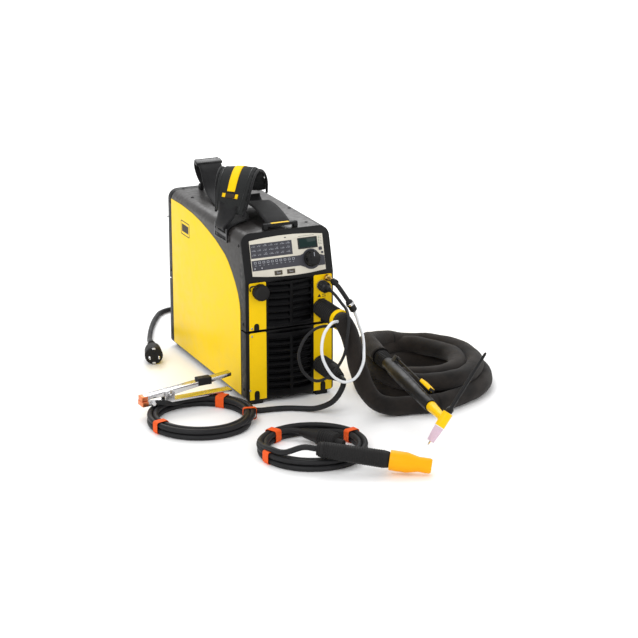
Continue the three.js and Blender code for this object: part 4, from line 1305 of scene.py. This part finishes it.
stripe_cloth = finish("stripe_cloth", (0.93, 0.58, 0.004), 0.7, 0.06, 900, 0.5, 0.0002, 0, 0.1)
pad_stripe = sewn_on("pad_stripe", 42, 190, 0, 17, 0.9, stripe_cloth)
pad_label = sewn_on("pad_label", 30, 44, 0, 36, 1.3, stripe_cloth)
sewn_on("pad_label_print", 32, 42, 1, 22, 1.7, mark_ink)
for side in (-1, 1):
    rows = laid_out(PAD_STATIONS, 0.005)
    edge_line = [centre + across * side * 0.0385 for centre, across, face, gone in rows]
    hand = "left" if side < 0 else "right"
    binding = swept("pad_binding_" + hand, edge_line, 10, lambda along, angle: 2.6 * MM, webbing)
    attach(binding, "machine")
    sewn_on("pad_stitch_" + hand, 6, 216, side * 29, 0.8, 0.7, buckle_plastic)


# Torch: a nylon handle with a long lever switch and its yellow pad, a yellow silicone head, a
# pink alumina nozzle held by its collar, a long back cap and a tungsten electrode.
handle_black = finish("handle_black", (0.007, 0.007, 0.0075), 0.4, 0.2, 700, 0.2, 0.00008)
torch_yellow = finish("torch_yellow", (0.93, 0.56, 0.004), 0.35, 0.03, 400, 0.1, 0.00005, 0, 0.15)
nozzle_pink = finish("nozzle_pink", (0.66, 0.50, 0.60), 0.5, 0.06, 300, 0.2, 0.00006)
tungsten = finish("tungsten", (0.35, 0.35, 0.36), 0.3, 0.1, 800, 0, 0.0001, 1.0)
stand_in("torch_handle", handle_black, 0.0009, 26)
stand_in("torch_trigger", handle_black, 0.0006, 26)
stand_in("torch_head", torch_yellow, 0.0008, 26)
stand_in("torch_nozzle", nozzle_pink, 0.0004, 26)
stand_in("torch_back_cap", handle_black, 0.0006, 26)
TORCH = Vector((173, -265, 82.5))
TORCH_AXES = Matrix(
    ((-0.095, -0.99455, -0.04305), (0.80497, -0.05131, -0.59109), (0.58566, -0.09081, 0.80546))
).transposed()
TORCH_X = TORCH_AXES @ Vector((1, 0, 0))
boot_places = [7 + 6 * k for k in range(6)]
torch_boot = ringed(
    "torch_boot_rings",
    TORCH,
    TORCH_X,
    boot_places,
    [15.3 - 0.06 * s for s in boot_places],
    1.8,
    grip_rubber,
)


def rounded_block(name, corner_low, corner_high, axes, origin, rounding, material, body):
    """A block with rounded edges in an axis frame of its own."""
    deselect()
    bpy.ops.mesh.primitive_cube_add(size=1)
    block = bpy.context.active_object
    block.name = name
    low, high = Vector(corner_low), Vector(corner_high)
    size = [abs(high[i] - low[i]) for i in range(3)]
    fit = Matrix.Translation((low + high) * 0.5 * MM) @ Matrix.Diagonal((*[s * MM for s in size], 1))
    block.data.transform(fit)
    edge = block.modifiers.new("edge", "BEVEL")
    edge.width = rounding * MM
    edge.segments = 3
    bpy.ops.object.modifier_apply(modifier="edge")
    bpy.ops.object.shade_smooth_by_angle(angle=math.radians(35))
    block.data.transform(Matrix.Translation(Vector(origin) * MM) @ axes.to_4x4())
    coat(block, material)
    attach(block, body)
    return block


def on_trigger(name, low, high, rounding):
    return rounded_block(name, low, high, TORCH_AXES, TORCH, rounding, torch_yellow, "trigger")


trigger_pad = on_trigger("torch_trigger_pad", (190, -5.8, 19.6), (239, 5.8, 26.6), 1.6)
RIB_STARTS = [200 + 5 * k for k in range(6)]
pad_ribs = [on_trigger("rib", (x, -4.6, 26.3), (x + 2.4, 4.6, 27.2), 0.4) for x in RIB_STARTS]
gathered("torch_trigger_ribs", pad_ribs, "trigger")
ELBOW = (141, -600, 68)
CAP_AXIS = Vector((0.592, 0.014, 0.805))
ringed("torch_cap_grip", ELBOW, CAP_AXIS, [16 + 2.6 * k for k in range(3)], [7.1] * 3, 0.8, handle_black)
spun(
    "torch_collar",
    [(8.4, 14.6), (9.6, 15), (9.6, 17.6), (8.4, 18), (8.4, 14.6)],
    ELBOW,
    -CAP_AXIS,
    28,
    white_tube,
)
ELECTRODE = [(0, 57.6), (0.3, 57), (1.5, 53), (1.5, 46), (0, 46)]
spun("torch_electrode_tip", ELECTRODE, ELBOW, -CAP_AXIS, 12, tungsten)


# Cable ties: orange hook-and-loop tapes round the strands of the coils.
tie_orange = finish("tie_orange", (0.80, 0.10, 0.012), 0.6, 0.1, 500, 0.4, 0.0002)


def tie(name, centre, angle, r_in, r_out, top, wide, low=0.4):
    """A closed strip of tape round a bundle of strands at an angle round its coil."""
    turn = math.radians(angle - 24.5)
    outward = Vector((math.cos(turn), math.sin(turn), 0))
    along = Vector((-outward.y, outward.x, 0))
    ring = [
        *arc(r_out - 4, low + 4.6, 4.6, -90, 0, 5),
        *arc(r_out - 4, top - 4, 4.6, 0, 90, 5),
        *arc(r_in + 4, top - 4, 4.6, 90, 180, 5),
        *arc(r_in + 4, low + 4.6, 4.6, 180, 270, 5),
    ]
    middle = Vector(((r_in + r_out) / 2, (low + top) / 2, 0))
    inner = []
    for x, z in ring:
        pull = (middle - Vector((x, z, 0))).normalized() * 0.9
        inner.append((x + pull.x, z + pull.y))
    mesh = bpy.data.meshes.new(name)
    build = bmesh.new()
    loops = []
    for places, shift in ((ring, -wide / 2), (ring, wide / 2), (inner, wide / 2), (inner, -wide / 2)):
        loop = []
        for x, z in places:
            spot = Vector((*centre, 0)) + outward * x + along * shift + Vector((0, 0, z))
            loop.append(build.verts.new(spot * MM))
        loops.append(loop)
    count = len(ring)
    for a in range(4):
        first, second = loops[a], loops[(a + 1) % 4]
        for k in range(count):
            n = (k + 1) % count
            build.faces.new((first[k], first[n], second[n], second[k]))
    bmesh.ops.recalc_face_normals(build, faces=build.faces[:])
    build.to_mesh(mesh)
    build.free()
    piece = bpy.data.objects.new(name, mesh)
    bpy.context.scene.collection.objects.link(piece)
    deselect()
    bpy.context.view_layer.objects.active = piece
    piece.select_set(True)
    bpy.ops.object.shade_smooth_by_angle(angle=math.radians(40))
    coat(piece, tie_orange)
    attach(piece, "machine")
    return piece


ties = [
    tie("work_tie_1", WORK_COIL, 67, 81.5, 107.5, 24, 18),
    tie("work_tie_2", WORK_COIL, 218, 81.5, 107.5, 24, 14),
    tie("work_tie_3", WORK_COIL, 9, 81.5, 107.5, 24, 7),
    tie("holder_tie_1", HOLDER_COIL, 143, 80.5, 106, 24, 16),
    tie("holder_tie_2", HOLDER_COIL, 215, 80.5, 106, 24, 18),
    tie("holder_tie_3", HOLDER_COIL, 38, 80.5, 106, 24, 14),
]
tie("mains_tie", MAINS_COIL, 150, 46.6, 73.2, 34.2, 16)

# Work clamp: two pressed steel arms on a rivet with a dark spring, copper jaw tips, and the
# lead's lug bolted to the near face of the lower jaw.
clamp_chrome = finish("clamp_chrome", (0.60, 0.60, 0.61), 0.24, 0.1, 300, 0.12, 0.00006, 1.0, 0.5)
copper = finish("copper", (0.72, 0.22, 0.09), 0.35, 0.2, 300, 0.2, 0.0001, 0.9, 0.5)
spring_steel = finish("spring_steel", (0.05, 0.05, 0.052), 0.35, 0.2, 400, 0.1, 0.00005, 0.8, 0.5)
stand_in("clamp_lower_jaw", clamp_chrome, 0.0007)
stand_in("clamp_upper_jaw", clamp_chrome, 0.0007)
CLAMP_TURN = Matrix.Rotation(math.radians(4), 3, "Z")
CLAMP_HOME = Vector((-209, -178, 24.3))


def clamp_block(name, low, high, rounding, material, body):
    return rounded_block(name, low, high, CLAMP_TURN, CLAMP_HOME, rounding, material, body)


def on_clamp(x, y, z):
    return CLAMP_HOME + CLAMP_TURN @ Vector((x, y, z))


for body, low, high, kind in (
    ("machine", (-99.2, -11.8, -0.6), (-86, 11.8, 9.7), "lower"),
    ("clamp_jaw", (-99.2, -9, 10.1), (-86, 9, 19.6), "upper"),
):
    tip = clamp_block("clamp_tip_" + kind, low, high, 1.0, copper, body)
clamp_block("clamp_grip", (22, -8.8, 22), (52, 8.8, 37), 1.5, grip_rubber, "clamp_jaw")
lug = clamp_block("clamp_lug", (-84, -13.4, 0.8), (-58, -11.1, 9.6), 0.5, clamp_chrome, "machine")
FRONT_OF_CLAMP = CLAMP_TURN @ Vector((0, -1, 0))
BOLT = [(0, 4.6), (4.2, 4.6), (5, 3.8), (5, 0.4), (7, 0.4), (7, 0), (0, 0)]
spun("clamp_bolt", BOLT, on_clamp(-77, -13.4, 5.2), FRONT_OF_CLAMP, 6, bright_steel, "machine", 20)
RIVET = [(0, 2.4), (2.6, 2), (4, 0), (0, 0)]
spun("clamp_rivet", RIVET, on_clamp(-40, -11, 18), FRONT_OF_CLAMP, 18, bright_steel)
coils = []
for k in range(5):
    profile = [(5.2 + 1.1 * math.cos(math.tau * n / 8), 1.1 * math.sin(math.tau * n / 8)) for n in range(9)]
    coils.append(spun("coil", profile, on_clamp(-40, 4.6 - 2.3 * k, 18), FRONT_OF_CLAMP, 20, spring_steel))
gathered("clamp_spring", coils)

# Electrode holder: a ribbed rubber handle on its lead and an orange-yellow twist-lock head. The
# loose plug of the same lead lies inside its coil.
holder_yellow = finish("holder_yellow", (0.93, 0.40, 0.003), 0.4, 0.04, 400, 0.15, 0.00008, 0, 0.15)
stand_in("holder_plug", grip_rubber, 0.001)
stand_in("holder_handle", grip_rubber, 0.001, 26)
stand_in("holder_head", holder_yellow, 0.0009, 26)
HOLDER = (-111, -582, 43)
HOLDER_AXIS = (0.855, -0.505, -0.121)
holder_boot = ringed("holder_boot", HOLDER, HOLDER_AXIS, [1.8, 5.2], [11.4, 13.4], 1.5, grip_rubber)
handle_rings = [12 + 4.4 * k for k in range(26)]
handle_radii = [15.1 + 0.0105 * s for s in handle_rings]
ringed("holder_handle_grip", HOLDER, HOLDER_AXIS, handle_rings, handle_radii, 1.3, grip_rubber)
LOOSE_PLUG, LOOSE_AXIS = (-73, -428, 16.5), (0.48, -0.877, 0)
loose_grooves = [48 + 5 * k for k in range(7)]
ringed("holder_plug_grip", LOOSE_PLUG, LOOSE_AXIS, loose_grooves, [16.1] * 7, 1.5, grip_rubber)

# Mains plug: a moulded two-pole plug with plated pins and an earth contact in each side, on a
# ribbed sleeve that leads onto the cable.
stand_in("mains_plug", grip_rubber, 0.0012, 30)
PLUG_TURN = Matrix.Rotation(math.radians(-16.5), 3, "Z")
PLUG_HOME = Vector((-150.5, 178, 19.3))
PLUG_AXIS = PLUG_TURN @ Vector((0, -1, 0))
plug_rings = [6 + 4.6 * k for k in range(6)]
plug_radii = [7.6 + 0.055 * s for s in plug_rings]
plug_sleeve = ringed("mains_plug_sleeve", PLUG_HOME, PLUG_AXIS, plug_rings, plug_radii, 1.5, grip_rubber)
pin_profile = [(0, 73), (2.6, 73), (2.6, 97.5), (1.6, 99.3), (0, 99.6), (0, 73)]
plug_pins = [
    spun("pin", pin_profile, PLUG_HOME + PLUG_TURN @ Vector((side * 9.5, 0, 0)), PLUG_AXIS, 14, bright_steel)
    for side in (-1, 1)
]
gathered("mains_plug_pins", plug_pins)
earths = []
for z in (-15.5, 15.5):
    low, high = (-3.5, -81, z - 2), (3.5, -58, z + 2)
    earths.append(rounded_block("earth", low, high, PLUG_TURN, PLUG_HOME, 0.8, bright_steel, "machine"))
gathered("mains_plug_earths", earths)
PLUG_RIM = [(15.6, 79.6), (17.2, 80.6), (18.4, 79.8), (18.4, 77), (15.6, 77), (15.6, 79.6)]
spun("mains_plug_rim", PLUG_RIM, PLUG_HOME, PLUG_AXIS, 30, socket_plastic)
